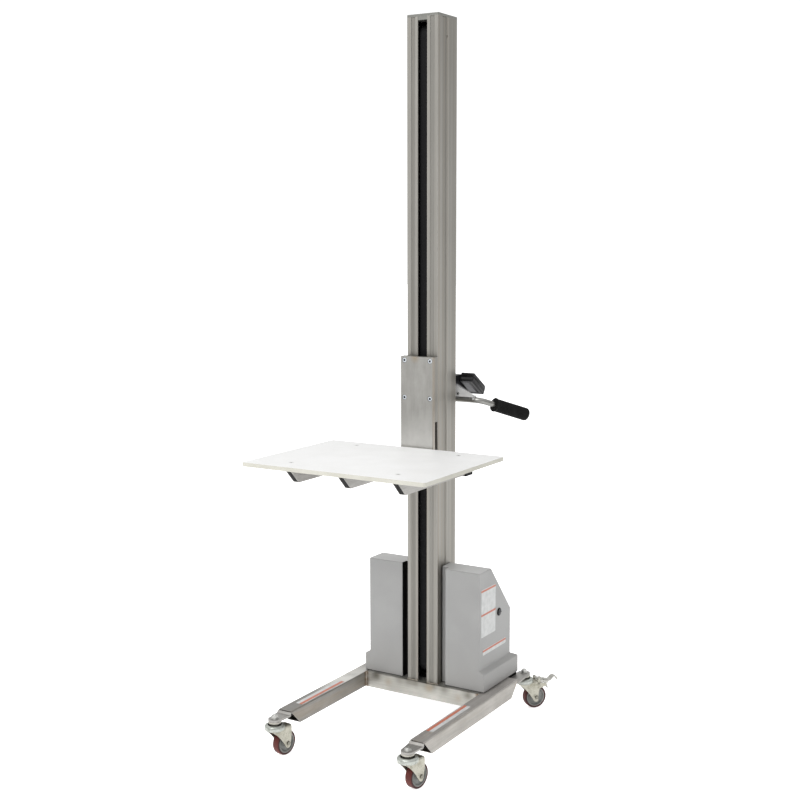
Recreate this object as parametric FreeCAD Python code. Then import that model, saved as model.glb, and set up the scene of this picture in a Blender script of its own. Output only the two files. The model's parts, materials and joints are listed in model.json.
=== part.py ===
import FreeCAD, Part
import math
import os
from FreeCAD import Rotation, Vector

# Battery powered mast lifter on four swivel casters.  Millimetres, +Z up, floor at z = 0.
# +X is to the right seen from the front, -Y is the front, where the platform is.
# Everything is laid out from the mast's front face; origin_setback then centres the
# whole machine fore and aft over the origin.
origin_setback = 73.0
seat_gap = 0.2
overshoot = 1.0
parallel = 0.999
tolerance = 0.001

# Legs: two rectangular tubes with 45 degree ends
leg_width = 48.0
leg_height = 50.0
leg_wall = 3.0
leg_corner = 4.0
leg_centre_x = 229.0
leg_front_y = -425.0
leg_rear_y = 175.0

# Cross tubes between the legs, and the plate between them under the mast
cross_depth = 50.0
front_cross_y = -10.5
rear_cross_gap = 30.0
foot_width = 200.0
foot_thickness = 8.0

# Tongues that carry the casters at the ends of the legs
tongue_thickness = 6.0
tongue_joggle = 6.0
tongue_inside = 80.0
front_stem_y = -474.0
rear_stem_y = 266.0
tongue_slip = 0.3
tongue_slant = 2.5

# Casters
wheel_radius = 37.5
tyre_width = 24.0
tyre_depth = 6.5
tyre_crown = 3.0
rim_width = 22.0
rim_thickness = 4.0
hub_radius = 11.0
hub_width = 28.4
web_thickness = 10.0
axle_radius = 4.0
axle_clearance = 0.05
trail = 38.0
fork_gap = 30.0
fork_wall = 3.0
fork_boss_radius = 12.0
fork_front = 26.0
cup_radius = 30.5
cup_height = 15.5
cup_recess_radius = 25.0
cup_recess_depth = 7.5
cup_boss_radius = 12.0
fork_headroom = 14.0
race_radius = 20.0
race_height = 10.2
race_seat = 0.3
kingpin_radius = 6.0
kingpin_clearance = 0.08
kingpin_head_flats = 19.0
kingpin_head_height = 11.5
kingpin_nut_height = 8.0
washer_radius = 12.0
washer_thickness = 2.5
axle_head_flats = 13.0
axle_head_height = 5.5
caster_angles = {
    "front_left": 82.0,
    "front_right": 80.0,
    "rear_left": 128.0,
    "rear_right": 52.0,
}

# Brake pedals on the rear casters
pedal_width = 26.0
pedal_thickness = 3.0
pedal_pin_radius = 2.5
pedal_pin_clearance = 0.06
pedal_pivot_y = 46.0
pedal_pivot_rise = 8.0
pedal_reach = 72.0
pedal_hump = 11.0
pedal_ramp = 34.0
pedal_crest = 17.0
pedal_crest_half = 6.0
pedal_heel_shift = 2.0
pedal_nose_shift = 1.0
pedal_hook_drop = 6.0
pedal_hook_edge = 2.5
pedal_barrel_radius = 4.5
shoe_size = 7.0
shoe_inset = 2.0
shoe_gap = 9.0
ear_radius = 6.5
ear_gap = 1.0

# Mast: slotted aluminium extrusion
mast_width = 109.0
mast_depth = 116.0
mast_top_z = 2182.0
mast_lip = 6.0
mast_side_wall = 7.0
mast_rear_wall = 6.0
mast_edge = 2.0
slot_width = 32.0
groove_width = 14.0
groove_depth = 2.0
groove_x = 33.0
side_groove_width = 32.0
side_groove_depth = 2.5
side_groove_y = 40.0
rib_y = 48.0
rib_thickness = 4.0
rib_length = 7.0
cap_thickness = 8.0
cap_spigot = 10.0
cap_slip = 0.3

# Belt and pulleys inside the mast
belt_y = 12.0
belt_thickness = 2.0
belt_width = 30.0
belt_gap = 0.3
pulley_radius = 36.0
pulley_flange = 3.0
pulley_flange_thickness = 2.0
top_pulley_drop = 55.0
drive_pulley_rise = 60.0
top_shaft_radius = 6.0
drive_shaft_radius = 7.5
shaft_clearance = 0.05
shaft_inset = 0.5
drive_shaft_reach = 40.0

# Carriage, in its rest position
plate_width = 116.0
plate_thickness = 10.0
plate_face_y = -33.0
plate_top_z = 1169.0
block_height = 199.0
block_mast_gap = 8.0
carriage_screw_x = 45.0
carriage_screw_drop = 12.0
carriage_screw_pitch = 115.0
carriage_screw_radius = 3.0
carriage_screw_head = 5.5
carriage_screw_grip = 12.0
trolley_height = 160.0
trolley_width = 84.0
trolley_depth = 36.0
trolley_lip_gap = 2.0
belt_channel_slip = 0.4
neck_width = 26.0
neck_height = 140.0
pad_height = 25.0
pad_slip = 0.3
pad_wrap = 12.0

# Platform
board_width = 612.0
board_depth = 461.0
board_thickness = 12.0
board_corner = 32.0
board_edge = 1.5
board_top_z = 889.0
board_setback = 19.0
arm_spacing = 180.0
arm_width = 20.0
arm_height = 50.0
arm_wall = 2.0
arm_length = 395.0
beam_depth = 40.0
beam_wall = 3.0
end_cap_depth = 6.0
end_cap_inset = 0.5
board_screw_front = 71.0
board_screw_pitch = 334.0
board_screw_radius = 3.0
board_screw_head = 7.0
board_screw_length = 26.0

# Drive housing round the foot of the mast
floor_thickness = 3.0
floor_inset = 3.0
floor_front_gap = 1.0
housing_front_y = 5.0
housing_leg_inset = 29.0
housing_top_z = 507.0
housing_top_depth = 80.0
housing_depth = 216.0
housing_chamfer_z = 348.0
housing_wall = 2.0
flare_out = 18.0
flare_back = 22.0
flare_top_z = 197.0
flare_slope = 10.0
notch_half_width = 79.0
notch_depth = 25.0
mast_hole_gap = 1.5
battery_count = 2
battery_depth = 151.0
battery_height = 94.0
battery_wall_room = 7.5
battery_gap = 3.0
battery_y = 45.0
battery_post_radius = 5.0
battery_post_height = 6.0
battery_post_inset = 20.0
gearbox_size = (50.0, 60.0, 80.0)
gearbox_y = 35.0
motor_radius = 32.0
motor_length = 150.0
motor_gap = 2.0
motor_tail_radius = 24.0
motor_tail_length = 12.0
switch_y = 138.0
switch_z = 354.0
bezel_radius = 13.0
bezel_height = 3.0
knob_radius = 9.0
knob_height = 8.0
knob_gap = 0.3
knob_bar = 5.0
switch_radius = 12.0
switch_depth = 20.0
label_thickness = 0.4
notice_y = 18.0
notice_width = 96.0
notice_z = 299.0
notice_height = 76.0
strip_y = 30.0
strip_width = 157.0
strip_z = 236.0
strip_height = 22.0
leg_label_y = -335.0
leg_label_length = 230.0
leg_label_inner = 19.0
leg_label_outer = 16.0

# Handle and console behind the mast
handle_y = 150.0
handle_z = 1022.0
handle_radius = 8.0
handle_wall = 2.0
handle_corner_x = 125.0
handle_bend = 36.0
grip_start = 55.0
grip_length = 129.0
grip_radius = 18.0
grip_flange_radius = 21.0
grip_flange = 6.0
grip_flange_edge = 1.0
grip_flange_slope = 2.0
grip_end_round = 12.0
grip_dome_in = 3.0
grip_dome_back = 4.0
grip_cap_in = 8.0
grip_wall = 6.0
grip_azimuth = 60.0
grip_drop = 18.2

# Bracket that carries the handlebar behind the mast
bracket_thickness = 4.0
bracket_half_width = 86.0
bracket_web_x = 42.0
bracket_plate_y = 138.0
bracket_height = 36.0

# Hand control in its holder, to the right behind the mast
control_left_x = 50.0
control_width = 48.0
control_length = 98.0
control_thickness = 30.0
control_tilt = 33.0
control_top_y = 159.0
control_top_z = 1107.0
control_edge = 5.0
control_nose = 12.0
control_wall = 3.0
back_margin = 6.0
back_thickness = 2.0
back_end_gap = 4.0
face_margin = 5.0
face_thickness = 2.0
face_lip = 2.0
face_end_gap = 1.0
holder_left_x = 14.0
holder_height = 31.0
holder_reach = 42.0
holder_step = 12.0
button_radius = 9.0
button_height = 4.0
button_depth = 7.0
button_gap = 0.3
button_place = 30.0
button_pitch = 36.0

# Worked out from the sizes above
cup_bottom_z = 2 * wheel_radius + fork_headroom
cup_top_z = cup_bottom_z + cup_height
race_bottom_z = cup_top_z + race_seat
tongue_top_z = race_bottom_z + race_height + tongue_thickness
leg_top_z = tongue_top_z + tongue_joggle + leg_wall
leg_bottom_z = leg_top_z - leg_height
pedal_pivot_z = cup_bottom_z + pedal_pivot_rise
inner_leg_x = leg_centre_x - leg_width / 2
rear_cross_y = front_cross_y + cross_depth + rear_cross_gap
pulley_y = belt_y + belt_thickness + belt_gap + pulley_radius
top_pulley_z = mast_top_z - top_pulley_drop
drive_pulley_z = leg_top_z + drive_pulley_rise
board_bottom_z = board_top_z - board_thickness
arm_bottom_z = board_bottom_z - arm_height
beam_front_y = plate_face_y - beam_depth
board_rear_y = plate_face_y - board_setback
board_front_y = board_rear_y - board_depth
block_rear_y = -block_mast_gap
block_bottom_z = plate_top_z - block_height
trolley_mid_z = plate_top_z - block_height / 2
trolley_front_y = mast_lip + trolley_lip_gap
housing_half_width = leg_centre_x - housing_leg_inset
housing_bottom_z = leg_top_z + floor_thickness
housing_rear_y = housing_front_y + housing_depth
battery_room = housing_half_width - housing_wall - battery_wall_room - mast_width / 2
battery_width = battery_room / battery_count - battery_gap
stem_places = {
    "front_left": (-leg_centre_x, front_stem_y),
    "front_right": (leg_centre_x, front_stem_y),
    "rear_left": (-leg_centre_x, rear_stem_y),
    "rear_right": (leg_centre_x, rear_stem_y),
}


def save(node, shape):
    """Write one sub-part, moved from the mast's datum to the machine's origin."""
    placed = shape.copy()
    placed.translate(Vector(0, origin_setback, 0))
    placed.exportStep("parts/" + node + ".step")
    bounds = placed.BoundBox
    print(f"{node}: {len(placed.Solids)} solid(s), x {bounds.XMin:.1f} {bounds.XMax:.1f}, "
          f"y {bounds.YMin:.1f} {bounds.YMax:.1f}, z {bounds.ZMin:.1f} {bounds.ZMax:.1f}")


def box(x0, x1, y0, y1, z0, z1):
    return Part.makeBox(x1 - x0, y1 - y0, z1 - z0, Vector(x0, y0, z0))


def rod(start, direction, radius, length):
    return Part.makeCylinder(radius, length, start, direction)


def face_of(points):
    return Part.Face(Part.makePolygon(points + [points[0]]))


def side_prism(outline, x0, x1):
    """A Y-Z outline carried across from x0 to x1."""
    return face_of([Vector(x0, y, z) for y, z in outline]).extrude(Vector(x1 - x0, 0, 0))


def plan_prism(outline, z0, z1):
    """An X-Y outline carried up from z0 to z1."""
    return face_of([Vector(x, y, z0) for x, y in outline]).extrude(Vector(0, 0, z1 - z0))


def hex_prism(flats, z0, z1):
    corner = flats / math.sqrt(3)
    angles = [math.radians(60 * step) for step in range(6)]
    return plan_prism([(corner * math.cos(a), corner * math.sin(a)) for a in angles], z0, z1)


def turned(profile, centre, axis):
    """Spin a closed (radius, along) profile about an axis through centre."""
    section = face_of([Vector(radius, 0, along) for radius, along in profile])
    spun = section.revolve(Vector(0, 0, 0), Vector(0, 0, 1), 360)
    spun.Placement = FreeCAD.Placement(centre, Rotation(Vector(0, 0, 1), axis))
    return spun


def edges_along(shape, direction):
    """Straight edges that run along a direction."""
    found = []
    for edge in shape.Edges:
        if isinstance(edge.Curve, Part.Line):
            if abs(edge.tangentAt(edge.FirstParameter).dot(direction)) > parallel:
                found.append(edge)
    return found


def mirrored(shape):
    return shape.mirror(Vector(0, 0, 0), Vector(1, 0, 0))


def on_caster(shape, corner):
    """Turn a caster piece to its trail angle and carry it to its corner of the base."""
    x, y = stem_places[corner]
    placed = shape.copy()
    placed.rotate(Vector(0, 0, 0), Vector(0, 0, 1), caster_angles[corner] - 90)
    placed.translate(Vector(x, y, 0))
    return placed


def leg():
    """A rectangular tube whose two ends are cut back 45 degrees underneath."""
    half = leg_width / 2
    outer = side_prism([
        (leg_front_y, leg_top_z),
        (leg_rear_y, leg_top_z),
        (leg_rear_y - leg_height, leg_bottom_z),
        (leg_front_y + leg_height, leg_bottom_z),
    ], -half, half)
    outer = outer.makeFillet(leg_corner, edges_along(outer, Vector(0, 1, 0)))
    inner = box(-half + leg_wall, half - leg_wall, leg_front_y - overshoot, leg_rear_y + overshoot,
                leg_bottom_z + leg_wall, leg_top_z - leg_wall)
    return outer.cut(inner)


def tongue(end_y, stem_y):
    """A plate joggled down out of the leg's mouth, with a round end at the caster."""
    outward = math.copysign(1, stem_y - end_y)
    root_y = end_y - outward * tongue_inside
    tip_y = stem_y + outward * leg_width / 2
    knee_y = end_y + outward * tongue_joggle
    high_z = leg_top_z - leg_wall
    band = side_prism([
        (root_y, high_z),
        (end_y, high_z),
        (knee_y, tongue_top_z),
        (tip_y, tongue_top_z),
        (tip_y, tongue_top_z - tongue_thickness),
        (knee_y - outward * tongue_slant, tongue_top_z - tongue_thickness),
        (end_y - outward * tongue_slant, high_z - tongue_thickness),
        (root_y, high_z - tongue_thickness),
    ], -leg_width / 2, leg_width / 2)
    low_y, high_y = sorted((root_y, end_y))
    slim = leg_width / 2 - leg_wall - tongue_slip
    inside = box(-slim, slim, low_y, high_y, leg_bottom_z, leg_top_z)
    low_y, high_y = sorted((end_y, stem_y))
    outside = box(-leg_width / 2, leg_width / 2, low_y, high_y, leg_bottom_z, leg_top_z)
    tip = rod(Vector(0, stem_y, leg_bottom_z), Vector(0, 0, 1), leg_width / 2, leg_height)
    plate = band.common(inside.fuse([outside, tip]))
    bore = rod(Vector(0, stem_y, leg_bottom_z), Vector(0, 0, 1),
               kingpin_radius + kingpin_clearance, leg_height)
    return plate.cut(bore).removeSplitter()


def base_frame():
    right_leg = leg()
    right_leg.translate(Vector(leg_centre_x, 0, 0))
    save("leg_right", right_leg)
    save("leg_left", mirrored(right_leg))
    for node, start_y in (("front_cross_tube", front_cross_y), ("rear_cross_tube", rear_cross_y)):
        tube = box(-inner_leg_x, inner_leg_x, start_y, start_y + cross_depth, leg_bottom_z, leg_top_z)
        bore = box(-inner_leg_x, inner_leg_x, start_y + leg_wall, start_y + cross_depth - leg_wall,
                   leg_bottom_z + leg_wall, leg_top_z - leg_wall)
        save(node, tube.cut(bore))
    save("mast_foot", box(-foot_width / 2, foot_width / 2, front_cross_y + cross_depth, rear_cross_y,
                          leg_top_z - foot_thickness, leg_top_z))
    tongues = []
    for end_y, stem_y in ((leg_front_y, front_stem_y), (leg_rear_y, rear_stem_y)):
        right = tongue(end_y, stem_y)
        right.translate(Vector(leg_centre_x, 0, 0))
        tongues += [right, mirrored(right)]
    save("caster_tongues", Part.makeCompound(tongues))


def kingpin():
    """Bolt, washer and bearing race that hold one swivel under its tongue."""
    head_z = tongue_top_z + washer_thickness
    nut_top_z = cup_bottom_z - race_seat
    pin = rod(Vector(0, 0, nut_top_z - kingpin_nut_height), Vector(0, 0, 1), kingpin_radius,
              head_z + kingpin_head_height / 2 - nut_top_z + kingpin_nut_height)
    head = hex_prism(kingpin_head_flats, head_z, head_z + kingpin_head_height)
    washer = rod(Vector(0, 0, tongue_top_z), Vector(0, 0, 1), washer_radius, washer_thickness)
    nut = hex_prism(kingpin_head_flats, nut_top_z - kingpin_nut_height, nut_top_z)
    race = rod(Vector(0, 0, race_bottom_z), Vector(0, 0, 1), race_radius,
               race_height)
    bolt = pin.fuse([head, washer, nut]).removeSplitter()
    race = race.cut(rod(Vector(0, 0, race_bottom_z - overshoot), Vector(0, 0, 1), kingpin_radius,
                        race_height + 2 * overshoot))
    return [bolt, race]


def lower_tangent(point, centre, radius):
    """Where a line from point just touches the underside of a circle."""
    away = (centre[0] - point[0], centre[1] - point[1])
    distance = math.hypot(*away)
    angle = math.atan2(away[1], away[0]) - math.asin(radius / distance)
    run = math.sqrt(distance ** 2 - radius ** 2)
    return (point[0] + run * math.cos(angle), point[1] + run * math.sin(angle))


def fork(braked):
    """Bearing cup with two cheeks that straddle the wheel; local +Y is the trail."""
    plate_top_z = cup_bottom_z + fork_wall
    rear_y = trail + fork_boss_radius
    axle_z = wheel_radius
    front_z = cup_bottom_z - fork_wall
    touch = lower_tangent((-fork_front, front_z), (trail, axle_z), fork_boss_radius)
    outline = [(-fork_front, plate_top_z), (rear_y, plate_top_z), (rear_y, axle_z),
               (trail, axle_z), touch, (-fork_front, front_z)]
    outer = fork_gap / 2 + fork_wall
    cheek = side_prism(outline, fork_gap / 2, outer)
    boss = rod(Vector(fork_gap / 2, trail, axle_z), Vector(1, 0, 0), fork_boss_radius, fork_wall)
    cheek = cheek.fuse(boss)
    if braked:
        ear = rod(Vector(fork_gap / 2, pedal_pivot_y, pedal_pivot_z), Vector(1, 0, 0), ear_radius, fork_wall)
        pin_hole = rod(Vector(fork_gap / 2 - overshoot, pedal_pivot_y, pedal_pivot_z), Vector(1, 0, 0),
                       pedal_pin_radius + pedal_pin_clearance, fork_wall + 2 * overshoot)
        cheek = cheek.fuse(ear).cut(pin_hole)
    crown_rear = rear_y
    if braked:
        crown_rear = pedal_pivot_y - ear_radius - ear_gap
    crown = box(-outer, outer, -fork_front, crown_rear, cup_bottom_z, plate_top_z)
    up = Vector(0, 0, 1)
    cup = rod(Vector(0, 0, cup_bottom_z), up, cup_radius, cup_height)
    recess = rod(Vector(0, 0, cup_top_z - cup_recess_depth), up, cup_recess_radius, cup_height)
    boss_up = rod(Vector(0, 0, cup_bottom_z), up, cup_boss_radius, cup_height)
    bore = rod(Vector(0, 0, cup_bottom_z - overshoot), up, kingpin_radius + kingpin_clearance,
               cup_height + 2 * overshoot)
    axle_hole = rod(Vector(-outer - overshoot, trail, axle_z), Vector(1, 0, 0), axle_radius,
                    2 * (outer + overshoot))
    whole = cup.cut(recess).fuse([boss_up, crown, cheek, mirrored(cheek)])
    return whole.cut(bore).cut(axle_hole).removeSplitter()


def axle():
    """Through bolt with a head on one side and a nut on the other."""
    outer = fork_gap / 2 + fork_wall
    shank = rod(Vector(0, 0, -outer), Vector(0, 0, 1), axle_radius, 2 * outer)
    head = hex_prism(axle_head_flats, outer, outer + axle_head_height)
    nut = hex_prism(axle_head_flats, -outer - axle_head_height, -outer)
    bolt = shank.fuse([head, nut]).removeSplitter()
    across = Rotation(Vector(0, 0, 1), Vector(1, 0, 0))
    bolt.Placement = FreeCAD.Placement(Vector(0, trail, wheel_radius), across)
    return bolt


def wheel_core():
    rim = wheel_radius - tyre_depth
    bore = axle_radius + axle_clearance
    half_rim = rim_width / 2
    half_hub = hub_width / 2
    half_web = web_thickness / 2
    rim_inner = rim - rim_thickness
    return turned([
        (bore, -half_hub), (hub_radius, -half_hub), (hub_radius, -half_web), (rim_inner, -half_web),
        (rim_inner, -half_rim), (rim, -half_rim), (rim, half_rim), (rim_inner, half_rim),
        (rim_inner, half_web), (hub_radius, half_web), (hub_radius, half_hub), (bore, half_hub),
    ], Vector(0, trail, wheel_radius), Vector(1, 0, 0))


def tyre():
    rim = wheel_radius - tyre_depth
    half = tyre_width / 2
    shoulder = half - tyre_crown
    return turned([
        (rim, -half), (wheel_radius - tyre_crown, -half), (wheel_radius, -shoulder),
        (wheel_radius, shoulder), (wheel_radius - tyre_crown, half), (rim, half),
    ], Vector(0, trail, wheel_radius), Vector(1, 0, 0))


def brake_pedal():
    """Foot lever on a cross pin, with a shoe hanging over the back of the tyre."""
    half = pedal_width / 2
    low = pedal_pivot_z - pedal_thickness / 2
    high = pedal_pivot_z + pedal_thickness / 2
    tip = pedal_pivot_y + pedal_reach
    ramp = tip - pedal_ramp
    crest = tip - pedal_crest
    hook_z = pedal_pivot_z - pedal_hook_drop
    lever = side_prism([
        (pedal_pivot_y, low), (ramp, low), (crest - pedal_crest_half + pedal_heel_shift, low + pedal_hump),
        (crest + pedal_crest_half - pedal_nose_shift, low + pedal_hump),
        (tip - pedal_hook_edge, hook_z), (tip, hook_z),
        (crest + pedal_crest_half + pedal_nose_shift, high + pedal_hump),
        (crest - pedal_crest_half, high + pedal_hump),
        (ramp - pedal_heel_shift, high), (pedal_pivot_y, high),
    ], -half, half)
    across = Vector(1, 0, 0)
    barrel = rod(Vector(-half, pedal_pivot_y, pedal_pivot_z), across, pedal_barrel_radius, pedal_width)
    reach = fork_gap / 2 + fork_wall
    pin = rod(Vector(-reach, pedal_pivot_y, pedal_pivot_z), across, pedal_pin_radius, 2 * reach)
    slant = math.sqrt(0.5)
    near_y = trail + (wheel_radius + shoe_gap) * slant
    near_z = wheel_radius + (wheel_radius + shoe_gap) * slant
    side = shoe_size * slant
    shoe = side_prism([
        (near_y - side, near_z + side), (near_y, near_z), (near_y + 2 * side, near_z),
        (near_y + 2 * side, pedal_pivot_z), (near_y - side, pedal_pivot_z),
    ], shoe_inset - half, half - shoe_inset)
    return lever.fuse([barrel, pin, shoe]).removeSplitter()


def casters():
    """Four swivel casters; the two at the rear carry foot brakes."""
    pins = []
    plain_fork = fork(False)
    braked_fork = fork(True)
    for corner in stem_places:
        braked = corner.startswith("rear")
        save(corner + "_fork", on_caster(braked_fork if braked else plain_fork, corner))
        save(corner + "_axle", on_caster(axle(), corner))
        save(corner + "_wheel", on_caster(wheel_core(), corner))
        save(corner + "_tyre", on_caster(tyre(), corner))
        if braked:
            save(corner + "_brake_pedal", on_caster(brake_pedal(), corner))
        for piece in kingpin():
            x, y = stem_places[corner]
            piece.translate(Vector(x, y, 0))
            pins.append(piece)
    save("caster_bolts", Part.makeCompound(pins))


def mast_outline():
    """Right half of the extrusion's outer skin, from the slot round to the back."""
    half = mast_width / 2
    g0 = groove_x - groove_width / 2
    g1 = groove_x + groove_width / 2
    s0 = side_groove_y - side_groove_width / 2
    s1 = side_groove_y + side_groove_width / 2
    edge = mast_edge
    deep = side_groove_depth
    return [
        (slot_width / 2, 0), (g0, 0), (g0 + groove_depth, groove_depth), (g1 - groove_depth, groove_depth),
        (g1, 0), (half - edge, 0), (half, edge), (half, s0), (half - deep, s0 + deep),
        (half - deep, s1 - deep), (half, s1), (half, mast_depth - edge), (half - edge, mast_depth),
    ]


def mast_bore():
    """Right half of the extrusion's inside, from the back round to the slot."""
    inner = mast_width / 2 - mast_side_wall
    return [
        (inner, mast_depth - mast_rear_wall), (inner, rib_y + rib_thickness),
        (inner - rib_length, rib_y + rib_thickness), (inner - rib_length, rib_y),
        (inner, rib_y), (inner, mast_lip), (slot_width / 2, mast_lip),
    ]


def shaft_holes(radius, z):
    return rod(Vector(-mast_width, pulley_y, z), Vector(1, 0, 0), radius + shaft_clearance, 2 * mast_width)


def mast():
    skin = mast_outline()
    bore = mast_bore()
    loop = skin + [(-x, y) for x, y in reversed(skin)] + [(-x, y) for x, y in reversed(bore)] + bore
    section = plan_prism(loop, leg_top_z, mast_top_z)
    return section.cut(shaft_holes(top_shaft_radius, top_pulley_z)).cut(
        shaft_holes(drive_shaft_radius, drive_pulley_z))


def mast_cap():
    """Flat lid with a spigot that fills the top of the mast and of its slot."""
    half = mast_width / 2
    lid = plan_prism([
        (0, 0), (half - mast_edge, 0), (half, mast_edge), (half, mast_depth - mast_edge),
        (half - mast_edge, mast_depth), (0, mast_depth),
    ], mast_top_z, mast_top_z + cap_thickness)
    lid = lid.fuse(mirrored(lid)).removeSplitter()
    inner = half - mast_side_wall - cap_slip
    low_z = mast_top_z - cap_spigot
    plug = box(-inner, inner, mast_lip + cap_slip, rib_y - cap_slip, low_z, mast_top_z)
    slot_fill = slot_width / 2 - cap_slip
    key = box(-slot_fill, slot_fill, cap_slip, mast_lip + cap_slip, low_z, mast_top_z)
    return lid.fuse([plug, key]).removeSplitter()


def stadium(radius, z0, z1, x0, x1):
    """A long round-ended loop shape in the Y-Z plane, between the two pulley heights."""
    ends = [rod(Vector(x0, pulley_y, z), Vector(1, 0, 0), radius, x1 - x0) for z in (z0, z1)]
    return box(x0, x1, pulley_y - radius, pulley_y + radius, z0, z1).fuse(ends).removeSplitter()


def belt():
    half = belt_width / 2
    inner_radius = pulley_radius + belt_gap
    outer = stadium(inner_radius + belt_thickness, drive_pulley_z, top_pulley_z, -half, half)
    inner = stadium(inner_radius, drive_pulley_z, top_pulley_z, -half - overshoot, half + overshoot)
    return outer.cut(inner)


def pulley(z, shaft_radius, left_x, right_x):
    """Flanged belt pulley in one piece with its shaft."""
    half = belt_width / 2 + belt_gap
    across = Vector(1, 0, 0)
    drum = rod(Vector(-half, pulley_y, z), across, pulley_radius, 2 * half)
    flanges = [rod(Vector(x, pulley_y, z), across, pulley_radius + pulley_flange, pulley_flange_thickness)
               for x in (-half - pulley_flange_thickness, half)]
    shaft = rod(Vector(left_x, pulley_y, z), across, shaft_radius, right_x - left_x)
    return drum.fuse(flanges + [shaft]).removeSplitter()


def mast_and_drive():
    save("mast", mast())
    save("mast_cap", mast_cap())
    save("drive_belt", belt())
    end_x = mast_width / 2 - shaft_inset
    save("top_pulley", pulley(top_pulley_z, top_shaft_radius, -end_x, end_x))
    save("drive_pulley", pulley(drive_pulley_z, drive_shaft_radius, -end_x, end_x + drive_shaft_reach))


def countersunk(radius, head_radius, length):
    """Countersunk screw pointing down -Z from a flush head at z = 0."""
    sink = head_radius - radius
    head = Part.makeCone(head_radius, radius, sink, Vector(0, 0, 0), Vector(0, 0, -1))
    shank = rod(Vector(0, 0, -sink), Vector(0, 0, -1), radius, length - sink)
    return head.fuse(shank).removeSplitter()


def carriage_screws():
    screws = []
    length = plate_thickness + carriage_screw_grip
    for x in (-carriage_screw_x, carriage_screw_x):
        for drop in (carriage_screw_drop, carriage_screw_drop + carriage_screw_pitch):
            screw = countersunk(carriage_screw_radius, carriage_screw_head, length)
            screw.rotate(Vector(0, 0, 0), Vector(1, 0, 0), 90)
            screw.translate(Vector(x, plate_face_y, plate_top_z - drop))
            screws.append(screw)
    return Part.makeCompound(screws)


def glide_pad(low_z):
    """Plastic channel that wraps one edge of the trolley."""
    inner = mast_width / 2 - mast_side_wall
    outer = box(trolley_width / 2 - pad_wrap, inner - pad_slip, mast_lip + pad_slip, rib_y - pad_slip,
                low_z, low_z + pad_height)
    core = box(0, trolley_width / 2, trolley_front_y, trolley_front_y + trolley_depth,
               low_z - overshoot, low_z + pad_height + overshoot)
    return outer.cut(core)


def carriage():
    screws = carriage_screws()
    half = plate_width / 2
    plate_rear_y = plate_face_y + plate_thickness
    plate = box(-half, half, plate_face_y, plate_rear_y, arm_bottom_z, plate_top_z)
    save("carriage_plate", plate.cut(screws))
    block = box(-half, half, plate_rear_y, block_rear_y, block_bottom_z, plate_top_z)
    save("carriage_block", block.cut(screws))
    save("carriage_screws", screws)
    body = box(-trolley_width / 2, trolley_width / 2, trolley_front_y, trolley_front_y + trolley_depth,
               trolley_mid_z - trolley_height / 2, trolley_mid_z + trolley_height / 2)
    neck = box(-neck_width / 2, neck_width / 2, block_rear_y, trolley_front_y,
               trolley_mid_z - neck_height / 2, trolley_mid_z + neck_height / 2)
    channel = box(-belt_width / 2 - belt_channel_slip, belt_width / 2 + belt_channel_slip,
                  belt_y - belt_channel_slip, belt_y + belt_thickness + belt_channel_slip,
                  trolley_mid_z - trolley_height, trolley_mid_z + trolley_height)
    save("trolley", body.fuse(neck).removeSplitter().cut(channel))
    pads = []
    for low_z in (trolley_mid_z - trolley_height / 2, trolley_mid_z + trolley_height / 2 - pad_height):
        right = glide_pad(low_z)
        pads += [right, mirrored(right)]
    save("glide_pads", Part.makeCompound(pads))


def arm_profile(inset, x0, x1):
    """Arm outline with its front end cut back 45 degrees underneath."""
    front_y = beam_front_y - arm_length
    low = arm_bottom_z + inset
    high = board_bottom_z - inset
    return side_prism([
        (front_y + inset, high), (beam_front_y, high), (beam_front_y, low),
        (front_y + arm_height - inset, low),
    ], x0, x1)


def arm_cap():
    """Plug that fills the mouth of one arm, parallel to the cut."""
    half = arm_width / 2 - arm_wall
    low = arm_bottom_z + arm_wall
    high = board_bottom_z - arm_wall
    mouth_y = beam_front_y - arm_length + arm_wall + end_cap_inset
    run = high - low
    return side_prism([
        (mouth_y, high), (mouth_y + end_cap_depth, high), (mouth_y + run + end_cap_depth, low),
        (mouth_y + run, low),
    ], -half, half)


def platform():
    half = arm_width / 2
    screws = board_screws()
    tube = arm_profile(0, -half, half).cut(arm_bore())
    for node, x in (("arm_left", -arm_spacing), ("arm_centre", 0), ("arm_right", arm_spacing)):
        placed = tube.copy()
        placed.translate(Vector(x, 0, 0))
        save(node, placed.cut(screws))
    beam_half = arm_spacing + half
    beam = box(-beam_half, beam_half, beam_front_y, plate_face_y, arm_bottom_z, board_bottom_z)
    beam_bore = box(-beam_half - 1, beam_half + 1, beam_front_y + beam_wall, plate_face_y - beam_wall,
                    arm_bottom_z + beam_wall, board_bottom_z - beam_wall)
    save("cross_beam", beam.cut(beam_bore))
    plugs = []
    for x in (-arm_spacing, 0, arm_spacing):
        plug = arm_cap()
        plug.translate(Vector(x, 0, 0))
        plugs.append(plug)
    right_plug = box(beam_half - end_cap_inset - end_cap_depth, beam_half - end_cap_inset,
                     beam_front_y + beam_wall, plate_face_y - beam_wall,
                     arm_bottom_z + beam_wall, board_bottom_z - beam_wall)
    save("tube_end_caps", Part.makeCompound(plugs + [right_plug, mirrored(right_plug)]))
    save("platform_board", board().cut(screws))
    save("board_screws", screws)


def arm_bore():
    """Hollow of one arm, open at the front mouth."""
    half = arm_width / 2 - arm_wall
    return box(-half, half, beam_front_y - arm_length - overshoot, beam_front_y,
               arm_bottom_z + arm_wall, board_bottom_z - arm_wall)


def board():
    half = board_width / 2
    slab = box(-half, half, board_front_y, board_rear_y, board_bottom_z, board_top_z)
    slab = slab.makeFillet(board_corner, edges_along(slab, Vector(0, 0, 1)))
    rims = [edge for edge in slab.Edges if abs(edge.BoundBox.ZLength) < tolerance]
    return slab.makeFillet(board_edge, rims)


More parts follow.
